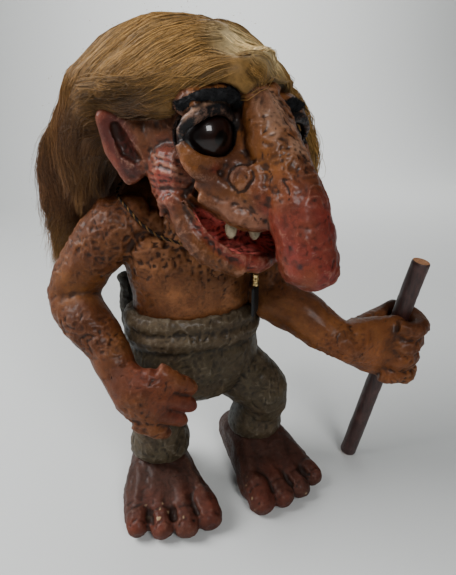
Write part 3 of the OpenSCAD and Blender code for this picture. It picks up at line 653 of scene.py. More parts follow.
# Lighter paint over the chest is painted light: it lifts the shadow that the head casts there.
chest_painted_light = np.clip(1.4 - skin.from_line([(-12, -12, 116), (0, -16, 104), (4, -16, 90)], 30) / 20, 0, 1)
skin.coat(CHEST_PAINTED_LIGHT_RGB, chest_painted_light * np.clip(0.65 + 0.4 * lumps(where, 7, 13), 0.1, 0.85))
skin.coat(RED_BROWN_RGB, back_of_hand * np.clip(0.6 + 0.4 * lumps(where, 9, 11), 0.2, 0.8))
# The fist's orange paint is laid lighter, as painted light that lifts the shade it lies in.
fist = np.clip(1.3 - skin.from_line([(58, -28, 72), (66, -30, 66)], 34) / 20, 0, 1)
skin.coat(FIST_ORANGE_AND_LIGHT_RGB, fist * np.clip(0.6 + 0.4 * lumps(where, 8, 12), 0.1, 0.85))
skin_finish = painted_finish("lacquered_skin", (0.018, 0.008, 0.005), (0.34, 0.17, 0.1),
                             glaze_and_shade_amount=0.85, brush_and_highlight_amount=0.2)
cut_apart(skin, skin_nodes, skin_finish,
          ["torso_skin", "right_arm_skin", "right_hand_skin", "left_arm_skin", "left_fist_skin"])

# ---- Trousers and tail ----
# Cast in one with the legs and painted olive brown, like coarse cloth: a thick roll at the waist, creases
# round the seat and knees, and rolled cuffs with ragged edges. The tail is a dark stub.

OLIVE_RGB = (0.058, 0.043, 0.023)
CLOTH_RGB = (0.085, 0.058, 0.032)
GREY_RGB = (0.1, 0.105, 0.1)
TAIL_RGB = (0.02, 0.017, 0.012)
trouser_nodes = ["trousers_seat", "waistband", "right_trouser_leg", "left_trouser_leg"]
trousers = Clay([solid(n) for n in trouser_nodes], voxel=0.62, relax=5)
where = trousers.mm
trousers.push(0.5 * lumps(where, 11, 21) + 0.3 * lumps(where, 5, 22))
trousers.push(0.3 * crumple(where, 6, 23) + 0.25 * crumple(where, 2.8, 24) - 0.3 * creases(where, 5, 27)
              + 0.12 * lumps(where, 1.4, 28) - 0.12)
# Three creases run round the rolled waist.
for z, depth in ((77.5, 0.5), (82.5, 0.9), (74.5, 0.8)):
    trousers.score([(-4 + 31 * math.cos(a), 2 + 23 * math.sin(a), z + 0.8 * math.sin(3 * a))
                    for a in np.radians(range(0, 361, 15))], 1.0, depth)
trousers.coat(OLIVE_RGB)
trousers.coat(CLOTH_RGB, np.clip(0.5 * lumps(where, 9, 25) + 0.3 * lumps(where, 3, 26) + 0.2, 0, 0.8))
trousers.coat(CLOTH_RGB, np.clip((where[:, 2] - 74) / 3, 0, 0.6))
trousers.coat(GREY_RGB, np.clip(1.3 - trousers.from_line([(13, 2, 44), (12, 2, 30)], 20) / 9, 0, 0.7))
cloth_finish = painted_finish("painted_trousers", (0.01, 0.008, 0.006), (0.26, 0.22, 0.16),
                              glaze_and_shade_amount=0.8, brush_and_highlight_amount=0.3, roughness=0.5, coat=0.12)
cut_apart(trousers, trouser_nodes, cloth_finish,
          ["seat_cloth", "waist_roll", "right_leg_cloth", "left_leg_cloth"])

tail = Clay([solid("tail")], voxel=0.5, relax=4)
tail.push(0.4 * lumps(tail.mm, 5, 31) + 0.5 * crumple(tail.mm, 3, 32) - 0.25)
tail.coat(TAIL_RGB)
tail_finish = painted_finish("painted_tail", (0.006, 0.005, 0.004), (0.12, 0.11, 0.08),
                             glaze_and_shade_amount=0.7, brush_and_highlight_amount=0.3, roughness=0.5, coat=0.12)
cut_apart(tail, ["tail"], tail_finish, ["tail_stub"])

# ---- Feet ----
# Big bare feet with four thick toes each, flat underneath. Tendons run down to the toes, each toe has creases
# over its joints and a stubby nail, and chips in the paint show pale casting at the tips.

FOOT_W = 42
TOES_TO_WIDTH = 4.25
FOOT_TIP, TOES_BACK = -36, (5, 1.5, 0, 1)
FOOT_RGB = (0.049, 0.019, 0.012)
TOE_RGB = (0.11, 0.027, 0.015)
CHIP_RGB = (0.5, 0.38, 0.22)


def foot_line(ankle, turn, points):
    """Points of a foot's own frame, its ankle over the origin and toes to -Y, in the figure's."""
    c, s = math.cos(math.radians(turn)), math.sin(math.radians(turn))
    return [(ankle[0] + c * x - s * y, ankle[1] + s * x + c * y, z) for x, y, z in points]


def over_toe(x, y, z, half, run, fall):
    """A line across a toe, which falls away on both sides."""
    return [(x + d, y + run * d * d, z - fall * d * d) for d in np.linspace(-half, half, 5)]


foot_finish = painted_finish("lacquered_feet", (0.012, 0.006, 0.004), (0.26, 0.14, 0.09),
                             glaze_and_shade_amount=0.85, brush_and_highlight_amount=0.22, roughness=0.48, coat=0.07)
for side, ankle, turn, big in (("right", (-22, -3), -4, 1), ("left", (25, -2), 9, -1)):
    foot = Clay([solid(side + "_foot")], voxel=0.55, relax=5)
    where = foot.mm
    on_top = np.clip((where[:, 2] - 1.0) / 2.5, 0, 1)
    foot.push(on_top * (0.5 * lumps(where, 10, 41) + 0.3 * lumps(where, 4.5, 42)))
    foot.push(on_top * (0.16 * crumple(where, 5, 43) + 0.12 * crumple(where, 2.6, 44)
                        - 0.12 * creases(where, 6, 48) + 0.1 * lumps(where, 1.4, 49) - 0.05))
    marks = []
    for k in range(4):
        x = big * (k - 1.5) * FOOT_W / TOES_TO_WIDTH
        tip = FOOT_TIP + TOES_BACK[k]
        marks += [([(x * 0.95, tip + 12, 11.5), (x * 0.8, -14, 14), (x * 0.55, -5, 19)], 2.0, -0.9),
                  (over_toe(x, tip + 8.5, 11.5, 4, 0.036, 0.12), 0.9, 0.4),
                  (over_toe(x, tip + 11.5, 11.5, 4, 0.036, 0.12), 0.8, 0.4),
                  (over_toe(x, tip + 3.2, 9.6, 3, -0.1, 0.16), 0.7, 0.45)]
    for k in range(3):
        x = big * (k - 1) * FOOT_W / TOES_TO_WIDTH
        marks.append(([(x, -30, 8.5), (x * 0.9, -17, 11), (x * 0.6, -6, 15)], 1.4, 1.3))
    for line, width, depth in marks:
        foot.score(foot_line(ankle, turn, line), width, depth)
    foot.coat(FOOT_RGB)
    toes = np.clip(1.4 - foot.from_line(foot_line(ankle, turn, [(-14, -30, 5), (14, -32, 5)]), 40) / 13, 0, 1)
    foot.coat(TOE_RGB, toes * np.clip(0.55 + 0.5 * lumps(where, 8, 45), 0.1, 0.9))
    foot.coat(CHIP_RGB, 0.7 * toes * (lumps(where, 1.7, 46) > 0.78) * (lumps(where, 9, 47) > 0.3))
    cut_apart(foot, [side + "_foot"], foot_finish, [side + "_foot_skin"])

# ---- Head ----
# One hollow casting with the ears, the long drooping nose and the laughing mouth. The modeller added rolls of
# clay for the eyelids, bags, smile folds and the wart, then the painter reddened the nose, cheeks and ears.

HEAD_TURN = 25.0
NECK_AXIS = (-5.3, -3.5)
EYE_H, EYE_Y, EYE_GAP, EYE_D = 159.0, -27.0, 33.0, 18.0
EYE_DROP = 3.0
MOUTH_H, MOUTH_W = 124.0, 50.0
WART_AT, WART_R = (-13.4, -40.4, 147.0), 3.7
FACE_RGB = (0.115, 0.038, 0.013)
ORANGE_RGB = (0.21, 0.072, 0.013)
BLUSH_RGB = (0.2, 0.03, 0.02)
RED_RGB = (0.18, 0.024, 0.017)
BAG_RGB = (0.085, 0.028, 0.014)
MOUTH_RED_AND_LIGHT_RGB = (0.85, 0.2, 0.17)
PALE_PAINT_AND_HIGHLIGHT_RGB = (0.42, 0.24, 0.15)
BOWL_RGB = (0.075, 0.017, 0.012)
LID_RGB = (0.004, 0.004, 0.0045)
LIP_PINK_RGB = (0.28, 0.12, 0.07)
SPECK_RGB = (0.05, 0.02, 0.02)
head_cos, head_sin = math.cos(math.radians(HEAD_TURN)), math.sin(math.radians(HEAD_TURN))


def on_head(x, y, z):
    """A point of the head's own frame, with its dowel on the Z axis, in the figure's frame."""
    return (NECK_AXIS[0] + head_cos * x - head_sin * y, NECK_AXIS[1] + head_sin * x + head_cos * y, z)


def head_line(points):
    """A line through points of the head's own frame, in the figure's frame."""
    return [on_head(*p) for p in points]


def to_head(p):
    """Points in metres as millimetres in the head's own frame."""
    q = p / MM - FOOT_POINT
    a, b = q[:, 0] - NECK_AXIS[0], q[:, 1] - NECK_AXIS[1]
    return np.stack([head_cos * a + head_sin * b, -head_sin * a + head_cos * b, q[:, 2]], 1)


def on_side(s, points):
    """Points whose x counts outwards from the middle of the face, on its left (s = 1) or right (s = -1)."""
    return [(s * x, y, z) for x, y, z in points]


def head_roll(points, radii):
    """A roll of clay along points of the head's own frame, tapered by radii."""
    return clay_roll(head_line(points), radii, 10)


def eye_at(s):
    """The middle of an eye in the head's frame. The left one sits lower and further out."""
    low = EYE_DROP if s > 0 else 0.0
    return (s * EYE_GAP / 2 + 0.8 * low, EYE_Y, EYE_H - low)


def lid_line(s, lift, reach, low=-85, high=85, ahead=0.0):
    """An arch over (lift > 0) or under (lift < 0) an eye, from its outer to its inner corner."""
    r = EYE_D / 2 + reach
    x, y, z = eye_at(s)
    return [(x + s * 1.5 - s * r * math.sin(k) * 1.12, y - r * math.cos(k) * 0.62 - ahead,
             z + lift * math.cos(k) * r) for k in np.radians(np.linspace(low, high, 9))]


rolls = []
for s in (-1, 1):
    rolls += [head_roll(lid_line(s, 0.86, 0.6, ahead=1.0), [1.2, 1.5, 1.8, 2.0, 2.0, 2.0, 1.9, 1.7, 1.3]),
              head_roll(lid_line(s, -0.78, 0.6, ahead=0.8), [0.7, 0.8, 0.9, 1.0, 1.0, 1.0, 0.9, 0.8, 0.7]),
              head_roll(lid_line(s, -1.15, 1.4, -75, 60), [0.8, 1.6, 2.2, 2.4, 2.4, 2.2, 1.8, 1.4, 0.8])]
    rolls += [head_roll(on_side(s, points), radii) for points, radii in (
        # The cheek runs down smoothly outside the mouth, into the jaw and the chin.
        ([(26, -21, 141), (24, -24, 134), (21.5, -28, 126.5), (17, -32, 120.5), (9, -37, 116)],
         [3.5, 4.2, 4.6, 4.4, 3.5]),
        # Dimple beside the mouth
        ([(25.5, -21, 143), (27.3, -18, 139), (27, -17, 133)], [1.2, 2.0, 1.2]),
        # Nostril wing
        ([(8, -43, 151), (12.5, -41, 147), (13, -40, 142), (8, -42, 138)], [1.5, 2.6, 2.6, 1.5]),
        # The nose spreads into the brows and the cheeks, and the upper lip is one long smooth slab.
        ([(4.5, -34, 172), (6, -38.5, 165), (7, -42, 157), (6, -45, 148)], [3, 4.2, 4.5, 4]),
        ([(9, -40, 150), (8.5, -43, 143), (7, -44, 135)], [5.5, 6, 4.5]),
        ([(23, -31, 141.5), (18.5, -36, 138), (12.5, -41, 134.5), (5, -44.5, 132.5)], [2.2, 2.8, 3.0, 2.8]),
        ([(22, -29.5, 146.5), (17.5, -34.5, 143.5), (12, -39.5, 140.5), (7, -43, 138)], [3.2, 3.8, 3.8, 3.6]),
        # Clay fills the inner corner of the eye and carries the bridge of the nose up into the brow.
        ([(6.5, -33, 164), (7.5, -35, 158), (9.5, -36, 151.5)], [3.2, 3.4, 3.4]),
        ([(2, -36, 172), (9, -33.5, 172.5)], [3.4, 2.6]))]
# The left eye stands out further, so clay closes the outer corner of its lids.
rolls.append(head_roll([(26.5, -23, 163), (28.6, -24, 159.5), (29.2, -24.5, 156), (28.6, -24, 152.5),
                        (26.5, -23, 149)], [2.6, 3.2, 3.4, 3.2, 2.6]))
# Bridge of the nose, and the crease between the brows
rolls.append(head_roll([(-2, -37, 173), (-3, -41, 167), (-2.5, -44, 160)], [2.0, 2.8, 2.0]))

face = Clay([solid("head")] + rolls, voxel=0.62, relax=5)
where = face.mm
on_face = to_head(face.co)
y, z = on_face[:, 1], on_face[:, 2]


def near(points, reach, soft=1.0):
    """1 close to a line through points of the head's frame, falling to 0 at reach."""
    return np.clip((reach - face.from_line(head_line(points), reach * 1.2)) / (reach * soft), 0, 1)


def engrave(points, width, depth):
    """Scores a line through points of the head's frame, laid on the face."""
    face.score(face.laid(head_line(points)), width, depth)


off_eye = np.minimum.reduce([np.linalg.norm(on_face - eye_at(s), axis=1) for s in (-1, 1)])
free = np.clip((off_eye - 9.6) / 2.0, 0, 1) * np.clip(0.5 - y / 4, 0.3, 1)
rough_face = np.clip(0.7 + 0.7 * lumps(where, 13, 50), 0.2, 1.3)
face.push(free * (0.55 * lumps(where, 9, 51) + 0.35 * lumps(where, 4.5, 52)))
face.push(free * rough_face * (0.4 * crumple(where, 5, 53) + 0.34 * crumple(where, 2.6, 54)
                               + 0.16 * lumps(where, 1.4, 55) - 0.3 * creases(where, 4.2, 56) - 0.2))
bridge = near([(0, -40, 172), (0, -47, 160), (0, -55, 146)], 14, 0.4) * (z > 140)
face.push(bridge * (0.45 * crumple(where, 3.6, 57) - 0.6 * creases(where, 3.2, 58) - 0.15))
cheeks = sum(near([(s * 28, -20, 150), (s * 28, -13, 143)], 11, 0.5) for s in (-1, 1))
face.push(cheeks * (0.4 * crumple(where * (0.6, 0.6, 1.3), 2.4, 59) - 0.35 * creases(where, 2.8, 60) - 0.05))
for s in (-1, 1):
    # Fans of wrinkles run over the cheeks towards the corners of the mouth.
    for line in ([(27.4, -12, 154.5), (27.4, -19, 153.6), (24.5, -25.5, 151.3)],
                 [(27.6, -15.5, 152.5), (27.1, -21, 151.4), (23.8, -26.6, 149.1)],
                 [(28.2, -14.4, 149.4), (27.3, -22.5, 149), (23.5, -27.6, 146.8)],
                 [(28.2, -12, 147.6), (27.6, -20, 147), (22.5, -27.8, 145.8)],
                 [(28.2, -13.1, 145.1), (27.5, -24.1, 145.6), (21.8, -28.2, 144.4)],
                 [(28, -12, 142.5), (27, -22.3, 143.2), (22.5, -27.7, 142.5)]):
        engrave(on_side(s, line), 0.55, 0.36)
    # The fold from the corner of the mouth towards the nostril, and the one over the nostril
    engrave(on_side(s, [(23.5, -25.3, 141.5), (22, -29, 145), (18.5, -34, 147.5)]), 0.9, 0.9)
    face.score(head_line(on_side(s, [(8.5, -44, 158), (9.5, -43.5, 152), (12, -42, 150)])), 0.9, 0.9)
# Wrinkles across the nose
for k in range(7):
    out, down = 2.2 * k, 5.5 * k
    face.score(head_line([(-9, -40 - out, 164 - down), (-3, -44 - out, 163 - down),
                          (3, -44.5 - out, 164.5 - down), (9, -40 - out, 163 - down)]), 0.7, 0.4)
# The wart is a flat round disc, cut in beside the nose, with two cracks across it.
face.push(0.7 * near([WART_AT], WART_R + 0.6, 0.2))
engrave([(WART_AT[0] + 0.7 * WART_R * math.cos(k), WART_AT[1] - 0.7 * WART_R * math.cos(k),
          WART_AT[2] + WART_R * math.sin(k)) for k in np.linspace(0, 6.1, 14)], 0.45, 0.7)
engrave([(-15.2, -39.2, 149), (-13, -41, 147.4), (-11.4, -42, 144.6)], 0.35, 0.35)
engrave([(-14.8, -39.5, 145.6), (-13, -41, 147.4)], 0.3, 0.3)

face.coat(FACE_RGB)
face.coat(ORANGE_RGB, np.clip(0.6 * lumps(where, 9, 61) + 0.35, 0, 0.8) * (y < -30))
face.coat(ORANGE_RGB, 0.7 * near([(-7.5, -39, 162), (-9, -44, 152), (-8, -49, 142)], 6, 0.6))
for s in (-1, 1):
    # Cheeks down to the jaw, bags, ears and their bowls
    for rgb, amount, line, reach, soft in (
            (BLUSH_RGB, 0.95 * np.clip(0.75 + 0.6 * lumps(where, 6, 62), 0.2, 1),
             [(28, -20, 149), (29, -14, 141)], 13, 0.8),
            (BAG_RGB, 0.75, [(22, -33, 147.5), (14, -37, 148.5)], 6, 0.5),
            (BLUSH_RGB, 0.8, [(27, -26, 152), (20, -33.5, 150.5)], 3.2, 0.6),
            (BLUSH_RGB, 0.6 * np.clip(0.7 + 0.5 * lumps(where, 5, 67), 0.2, 1),
             [(37, 2, 165), (36.5, 0, 158), (33, -2, 146)], 8, 0.6),
            (BOWL_RGB, 0.95, [(32.5, -0.5, 160.5), (30.6, -3, 156)], 6.2, 0.3),
            (BOWL_RGB, 0.9, [(30.4, -3.5, 154), (30, -5, 148)], 4.2, 0.4)):
        face.coat(rgb, amount * near(on_side(s, line), reach, soft))
nose_red = np.clip((152 - z) / 16, 0, 1) * near([(0, -50, 150), (0, -60, 118)], 17, 0.25)
face.coat(RED_RGB, nose_red * np.clip(0.8 + 0.4 * lumps(where, 7, 63), 0.3, 0.97))
# Mouth: red lips, a deep red inside that is laid bright as painted light against the shade in the mouth, and a
# paler upper lip
smile_line = [(s * MOUTH_W / 2, -40 + 13 * s * s, MOUTH_H + 17 * s * s * abs(s))
              for s in np.linspace(-1, 1, 15)]
lips = [(x * 0.97, y + 0.5, z - 2 - 4 * (1 - (2 * x / MOUTH_W) ** 2)) for x, y, z in smile_line[1:-1]]
face.coat(RED_RGB, 0.95 * near(lips, 5, 0.5))
face.coat(MOUTH_RED_AND_LIGHT_RGB, near([(x * 0.94, y + 7.5, z) for x, y, z in smile_line[2:-2]], 8.2, 0.25))
face.coat(LIP_PINK_RGB, 0.75 * near([(-17, -39, 137.5), (-11, -43, 134.5), (-5, -46.5, 133)], 5, 0.5)
          * (z > MOUTH_H + 7))
# Painted highlights along the ridges between the wrinkles of the right cheek, and on the bridge of the nose
for line in ([(-27.3, -14, 153.4), (-27.2, -19.5, 152.6)],
             [(-28, -14, 150.8), (-27.2, -21, 150.3), (-25.5, -24, 149)],
             [(-28.2, -15, 148.5), (-27.4, -22, 148), (-24.5, -26, 146.8)],
             [(-28, -15, 144), (-27, -22, 144.4)]):
    d = face.from_line(face.laid(head_line(line)), 2)
    face.coat(PALE_PAINT_AND_HIGHLIGHT_RGB, 0.5 * np.clip((1.0 - d) / 0.8, 0, 1) * np.clip(0.4 + 0.9 * lumps(where, 2, 65), 0, 1))
face.coat(PALE_PAINT_AND_HIGHLIGHT_RGB, 0.75 * near([(-1, -39, 170), (-2, -44, 163), (1, -49, 155)], 8, 0.6)
          * np.clip(0.55 + 0.9 * lumps(where, 4, 66), 0, 1))
# Black lids with a pale edge
for s in (-1, 1):
    for line, reach in ((lid_line(s, 0.86, 1.0, ahead=1.6), 3.0), (lid_line(s, 0.5, 0.2, ahead=2.0), 3.4),
                        (lid_line(s, -0.62, 0.0, ahead=1.2), 0.9)):
        face.coat(LID_RGB, near(line, reach, 0.25))
    face.coat(PALE_PAINT_AND_HIGHLIGHT_RGB, 0.75 * near(lid_line(s, 1.0, 1.6, -80, 75, ahead=1.6), 1.0, 0.7)
              * np.clip(0.8 + 0.8 * lumps(where, 1.6, 64), 0, 1))
face.coat(LID_RGB, off_eye < 10.2)
# A dark speck on the tip of the nose
face.coat(SPECK_RGB, near([(-9.2, -61.1, 121.8)], 1.3, 0.5))
head_finish = painted_finish("lacquered_face", (0.018, 0.008, 0.005), (0.45, 0.24, 0.16),
                             glaze_and_shade_amount=0.85, brush_and_highlight_amount=0.26, roughness=0.43, coat=0.2, relief=0.3)
cut_apart(face, ["head"], head_finish, ["head_skin"])

# ---- Eyes ----
# Glass balls glued into the sockets, nearly black, with a dark brown iris behind a clear polished front. They
# look straight ahead and a little to the figure's right.

EYE_LOOK = (-0.12, -1.0, -0.04)
PUPIL_RGB = (0.002, 0.0015, 0.001)


def glass_finish():
    """Dark glass: rings of black and brown round the way that the eye looks, under a polished coat."""
    m, tree = new_finish("glass_eye")
    flecks = place_node(tree, "Math", {0: noise(tree, 900.0, 3.0), 1: 0.12, 2: kept(tree, "off_iris", "Fac")},
                        operation="MULTIPLY_ADD").outputs[0]
    rings = ramp(tree, flecks, ((0.0, PUPIL_RGB), (1.0, (0.004, 0.003, 0.003))),
                 ((0.2, PUPIL_RGB), (0.26, (0.014, 0.005, 0.003)), (0.5, (0.009, 0.003, 0.002)),
                  (0.62, (0.004, 0.002, 0.0015))))
    shade(tree, {"Base Color": rings, "Roughness": 0.3, "Specular IOR Level": 0.1, "Coat Weight": 0.6,
                 "Coat Roughness": 0.06})
    return m


glass_eye = glass_finish()
look = Vector(EYE_LOOK)
for s, side in ((-1, "right"), (1, "left")):
    bm = bmesh.new()
    bmesh.ops.create_uvsphere(bm, u_segments=64, v_segments=40, radius=EYE_D / 2 * MM)
    bmesh.ops.rotate(bm, verts=bm.verts, matrix=look.to_track_quat("Z", "Y").to_matrix())
    off = [look.angle(v.co) / (math.pi / 2) for v in bm.verts]
    bmesh.ops.rotate(bm, verts=bm.verts, matrix=Matrix.Rotation(math.radians(HEAD_TURN), 3, "Z"))
    bmesh.ops.translate(bm, verts=bm.verts, vec=figure(*on_head(*eye_at(s))))
    for f in bm.faces:
        f.smooth = True
    ball = add_mesh(side + "_eye_glass", [], [], glass_eye)
    bm.to_mesh(ball.data)
    bm.free()
    keep_on(ball.data, "off_iris", np.array(off))
    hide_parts(side + "_eye")
    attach(ball, "head")

# ---- Eyebrows ----
# Two strips of short black fur, cut to an arch and glued to the head over the lids. The fur is thick in the
# middle, thin underneath and brushed outwards.

FUR_HAIRS = 1100
FUR_RADII = np.array([0.07, 0.05, 0.015])

fur_black = fibre_finish("brow_fur", (0.003, 0.003, 0.0035), (0.012, 0.012, 0.013), 2500, 0.8)
chance = np.random.default_rng(7)
for s, side in ((-1, "right"), (1, "left")):
    pad = Clay([solid(side + "_brow")], voxel=0.45, relax=5)
    pad.push(0.7 * lumps(pad.mm, 3, 71) + 0.5 * crumple(pad.mm, 2.2, 72) - 0.75
             - 0.6 * np.clip(-pad.normal[:, 2], 0, 1))
    outward = np.array([*(np.array(on_head(s * 3, -1, 0)) - on_head(0, 0, 0))[:2], 0.35])
    parts = [(pad.co, pad.faces.tolist())]
    for i in chance.choice(len(pad.co), FUR_HAIRS):
        root, up = pad.co[i], pad.normal[i]
        lean = 0.55 * up + 0.3 * outward / np.linalg.norm(outward) + 0.45 * chance.normal(size=3)
        lean /= np.linalg.norm(lean)
        length = chance.uniform(0.6, 1.5) * MM
        line = np.array([root, root + lean * length * 0.5, root + lean * length + (0, 0, -0.1 * length)])
        parts.append(tube(line, FUR_RADII * MM, 3))
    brow = add_mesh(side + "_brow_fur", *joined(parts), fur_black)
    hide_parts(side + "_brow")
    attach(brow, "head")

# ---- Teeth ----
# Two rough pegs of the same casting under the upper lip, painted ivory with brown glaze in their hollows,
# which is also painted shade. The right one is bigger and rounder.

IVORY_RGB = (0.5, 0.43, 0.28)
tooth_finish = painted_finish("ivory_paint", (0.2, 0.13, 0.06), (0.75, 0.7, 0.55), glaze_and_shade_amount=0.6, brush_and_highlight_amount=0.5,
                              roughness=0.4, coat=0.5)
for node in ("right_tooth", "left_tooth"):
    tooth = Clay([solid(node)], voxel=0.25, relax=3)
    tooth.push(0.25 * lumps(tooth.mm, 1.8, 81) + 0.2 * crumple(tooth.mm, 1.3, 82))
    tooth.coat(IVORY_RGB)
    cut_apart(tooth, [node], tooth_finish, [node + "_peg"])

# ---- Wig ----
# Combed sheep's wool over a felted under-layer, glued to the head. It is swept from a parting above the left
# eye, across the crown to the right ear and down behind the shoulders. Stray hairs stand off it.

WOOL_RGB = (0.25, 0.135, 0.036)
WOOL_PALE_RGB = (0.72, 0.56, 0.29)
WOOL_UNDER_RGB = (0.055, 0.022, 0.01)
WOOL_TIP_RGB = (0.09, 0.035, 0.016)
# Where the wool is paler or darker: a place on the head, its reach, its colour and how much of it
WOOL_SHADES = (((1, -28, 187), 12, WOOL_PALE_RGB, 0.95), ((9, -31, 181), 9, WOOL_PALE_RGB, 0.6),
               ((-34, -12, 164), 14, WOOL_UNDER_RGB, 0.8), ((-38, 16, 158), 22, WOOL_TIP_RGB, 0.7),
               ((-32, 44, 138), 34, WOOL_TIP_RGB, 0.85), ((0, 48, 130), 26, WOOL_TIP_RGB, 0.7))
PARTING = np.array([(-14.5, -38, 177), (-11, -34, 182), (-5, -27, 190), (2, -12, 195.5), (6, 8, 195),
                    (8, 26, 186)])
EAR_H = 158
BUNDLES, STRANDS, STRAND_POINTS = 2100, 20, 12
STRAY_HAIRS, LONG_STRAYS, STRAY_STEPS = 3000, 900, 15
PIECE_STRANDS = 3000
# Stray hairs reach no further out than this, in metres.
STRAY_LOW, STRAY_HIGH = np.array((-0.089, -0.072, 0.05)), np.array((0.06, 0.069, 0.205))

wig_nodes = ["wig_crown", "wig_fringe", "wig_right_lock", "wig_back_lock", "wig_left_lock"]
felt = Clay([solid(n) for n in wig_nodes] + [
    head_roll([(-32, 14, 167), (-32, 22, 158), (-32, 30, 146)], [6, 7, 6]),
    head_roll([(-22, 30, 160), (-22, 40, 150), (-24, 46, 136)], [8, 9, 6]),
    head_roll([(20, 22, 164), (24, 30, 152), (20, 40, 140)], [9, 9, 5])], voxel=1.0, relax=16)
thin_lock = np.clip((to_head(felt.co)[:, 0] - 24) / 5, 0, 1)
low_ends = np.clip((152 - felt.mm[:, 2]) / 22, 0, 1)
felt.push((1 - thin_lock) * (0.9 * lumps(felt.mm, 11, 101) + 0.4 * lumps(felt.mm, 5, 102) - 0.9
                             + low_ends * (0.8 * lumps(felt.mm, 6, 103) - 1.0)))


def combing(p):
    """The way the comb went, at points in metres: away from the parting, then down."""
    h = to_head(p)
    parting_x = np.interp(h[:, 1], PARTING[:, 1], PARTING[:, 0])
    right = np.clip((parting_x - h[:, 0]) / 4 + 0.5, 0, 1)[:, None]
    across = right * (-1.0, 0.42, -0.5) + (1 - right) * (0.9, 0.25, -0.9)
    low = np.clip((164 - h[:, 2]) / 18, 0, 1)[:, None]
    back = np.clip((h[:, 1] - 14) / 22, 0, 1)[:, None]
    d = across * (1 - back) + back * (0.25 * across + (0, 0.1, -0.9))
    d = d * (1 - low) + low * np.stack([0.12 * lumps(h, 16, 111), 0.18 + 0.1 * lumps(h, 16, 112),
                                        -np.ones(len(h))], 1)
    d = d + 0.2 * np.stack([lumps(h, 11, 113 + k) for k in range(3)], 1)
    # From the head's own frame to the row's
    x, y, z = d.T
    return unit(np.stack([head_cos * x - head_sin * y, head_sin * x + head_cos * y, z], 1))


def wool_colour(p, tone):
    """The wool's colour at points in metres, lighter or darker by tone."""
    h = to_head(p)
    rgb = np.tile(np.array(WOOL_RGB), (len(h), 1))
    for at, reach, other, amount in WOOL_SHADES:
        w = amount * np.clip(1.3 - np.linalg.norm(h - at, axis=1) / reach, 0, 1)[:, None]
        rgb = rgb * (1 - w) + w * other
    return rgb * (0.62 + 0.75 * tone)[:, None]


def wool_finish():
    """Wool: the strands' own colour with finer streaks, and a soft sheen."""
    m, tree = new_finish("combed_wool")
    streaks = spread(tree, noise(tree, 800.0, 4.0, 0.7), 0.3, 0.7, 0.7, 1.3)
    shade(tree, {"Base Color": blend(tree, 1.0, kept(tree, "paint", "Color"), streaks, "MULTIPLY"),
                 "Roughness": 0.5, "Specular IOR Level": 0.2, "Sheen Weight": 0.08, "Sheen Roughness": 0.5})
    return m


wool = wool_finish()
felt.paint = wool_colour(felt.co, np.full(len(felt.co), 0.15))
cut_apart(felt, wig_nodes, wool,
          ["wig_crown_felt", "wig_fringe_felt", "right_lock_felt", "back_lock_felt", "left_lock_felt"])

# Each lock of hair is a bundle of strands that starts where the felt is bare and follows the comb.
face_tree, felt_tree = face.tree(), felt.tree()
node_trees = [solid_tree(n) for n in wig_nodes]
corner = felt.co[felt.faces]
areas = np.linalg.norm(np.cross(corner[:, 2] - corner[:, 0], corner[:, 3] - corner[:, 1]), axis=1) / 2
chance = np.random.default_rng(41)
roots = []
for i in chance.choice(len(areas), BUNDLES, p=areas / areas.sum()):
    p, n = corner[i].mean(0), felt.normal[felt.faces[i]].mean(0)
    n /= np.linalg.norm(n) + TINY
    under_face = face_tree.ray_cast(Vector(p + n * 0.5 * MM), Vector(n), 14 * MM)[0]
    under_felt = felt_tree.ray_cast(Vector(p + n * 0.6 * MM), Vector(n), 12 * MM)[0]
    if under_face is None and under_felt is None:
        roots.append((p, n))


def follow(p, steps, step, loose):
    """A path from p over the felt along the comb, which hangs free for a few steps past its edge."""
    path, ups, way = [np.array(p)], [], None
    for k in range(steps):
        n = np.array(felt_tree.find_nearest(Vector(path[-1]))[1])
        d = combing(path[-1][None])[0]
        t = d - n * (d @ n)
        t = t / (np.linalg.norm(t) + 1e-9)
        way = t if way is None else way * 0.55 + t * 0.45
        way = way / np.linalg.norm(way)
        ups.append(n)
        ahead = path[-1] + way * step
        at, n2, i, gap = felt_tree.find_nearest(Vector(ahead))
        if gap > 0.45 * step or np.array(n2) @ n < -0.1:
            for j in range(loose):
                way = way * 0.8 + np.array((0, 0, -0.2))
                way /= np.linalg.norm(way)
                path.append(path[-1] + way * step)
                ups.append(n)
            break
        path.append(np.array(at))
    return np.array(path), np.array(ups + ups[-1:] * (len(path) - len(ups)))


def strand_mesh(lines, radii):
    """Points and faces of many three-sided strands with the same number of points each."""
    L = np.array(lines)
    n, m = L.shape[:2]
    T = unit(np.gradient(L, axis=1), TINY)
    U = unit(np.cross(T, (0.31, 0.52, 0.79)), TINY)
    V = np.cross(T, U)
    a = 2 * math.pi * np.arange(3) / 3
    R = np.array(radii)[..., None, None]
    ring = L[:, :, None] + R * (np.cos(a)[:, None] * U[:, :, None] + np.sin(a)[:, None] * V[:, :, None])
    start = (np.arange(n) * m * 3)[:, None, None] + (np.arange(m - 1) * 3)[:, None]
    this, following = start + np.arange(3), start + (np.arange(3) + 1) % 3
    return ring.reshape(-1, 3), np.stack([this, following, following + 3, this + 3], -1).reshape(-1, 4)


def hair_piece(name, node, strands):
    """One piece of the wig's combed or stray hair, from (line, radii, colours), which rides with the head."""
    lines, radii, colours = zip(*strands)
    o = add_mesh(name, *strand_mesh(lines, radii), wool)
    keep_on(o.data, "paint", np.repeat(np.array(colours).reshape(-1, 3), 3, 0))
    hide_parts(node)
    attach(o, "head")


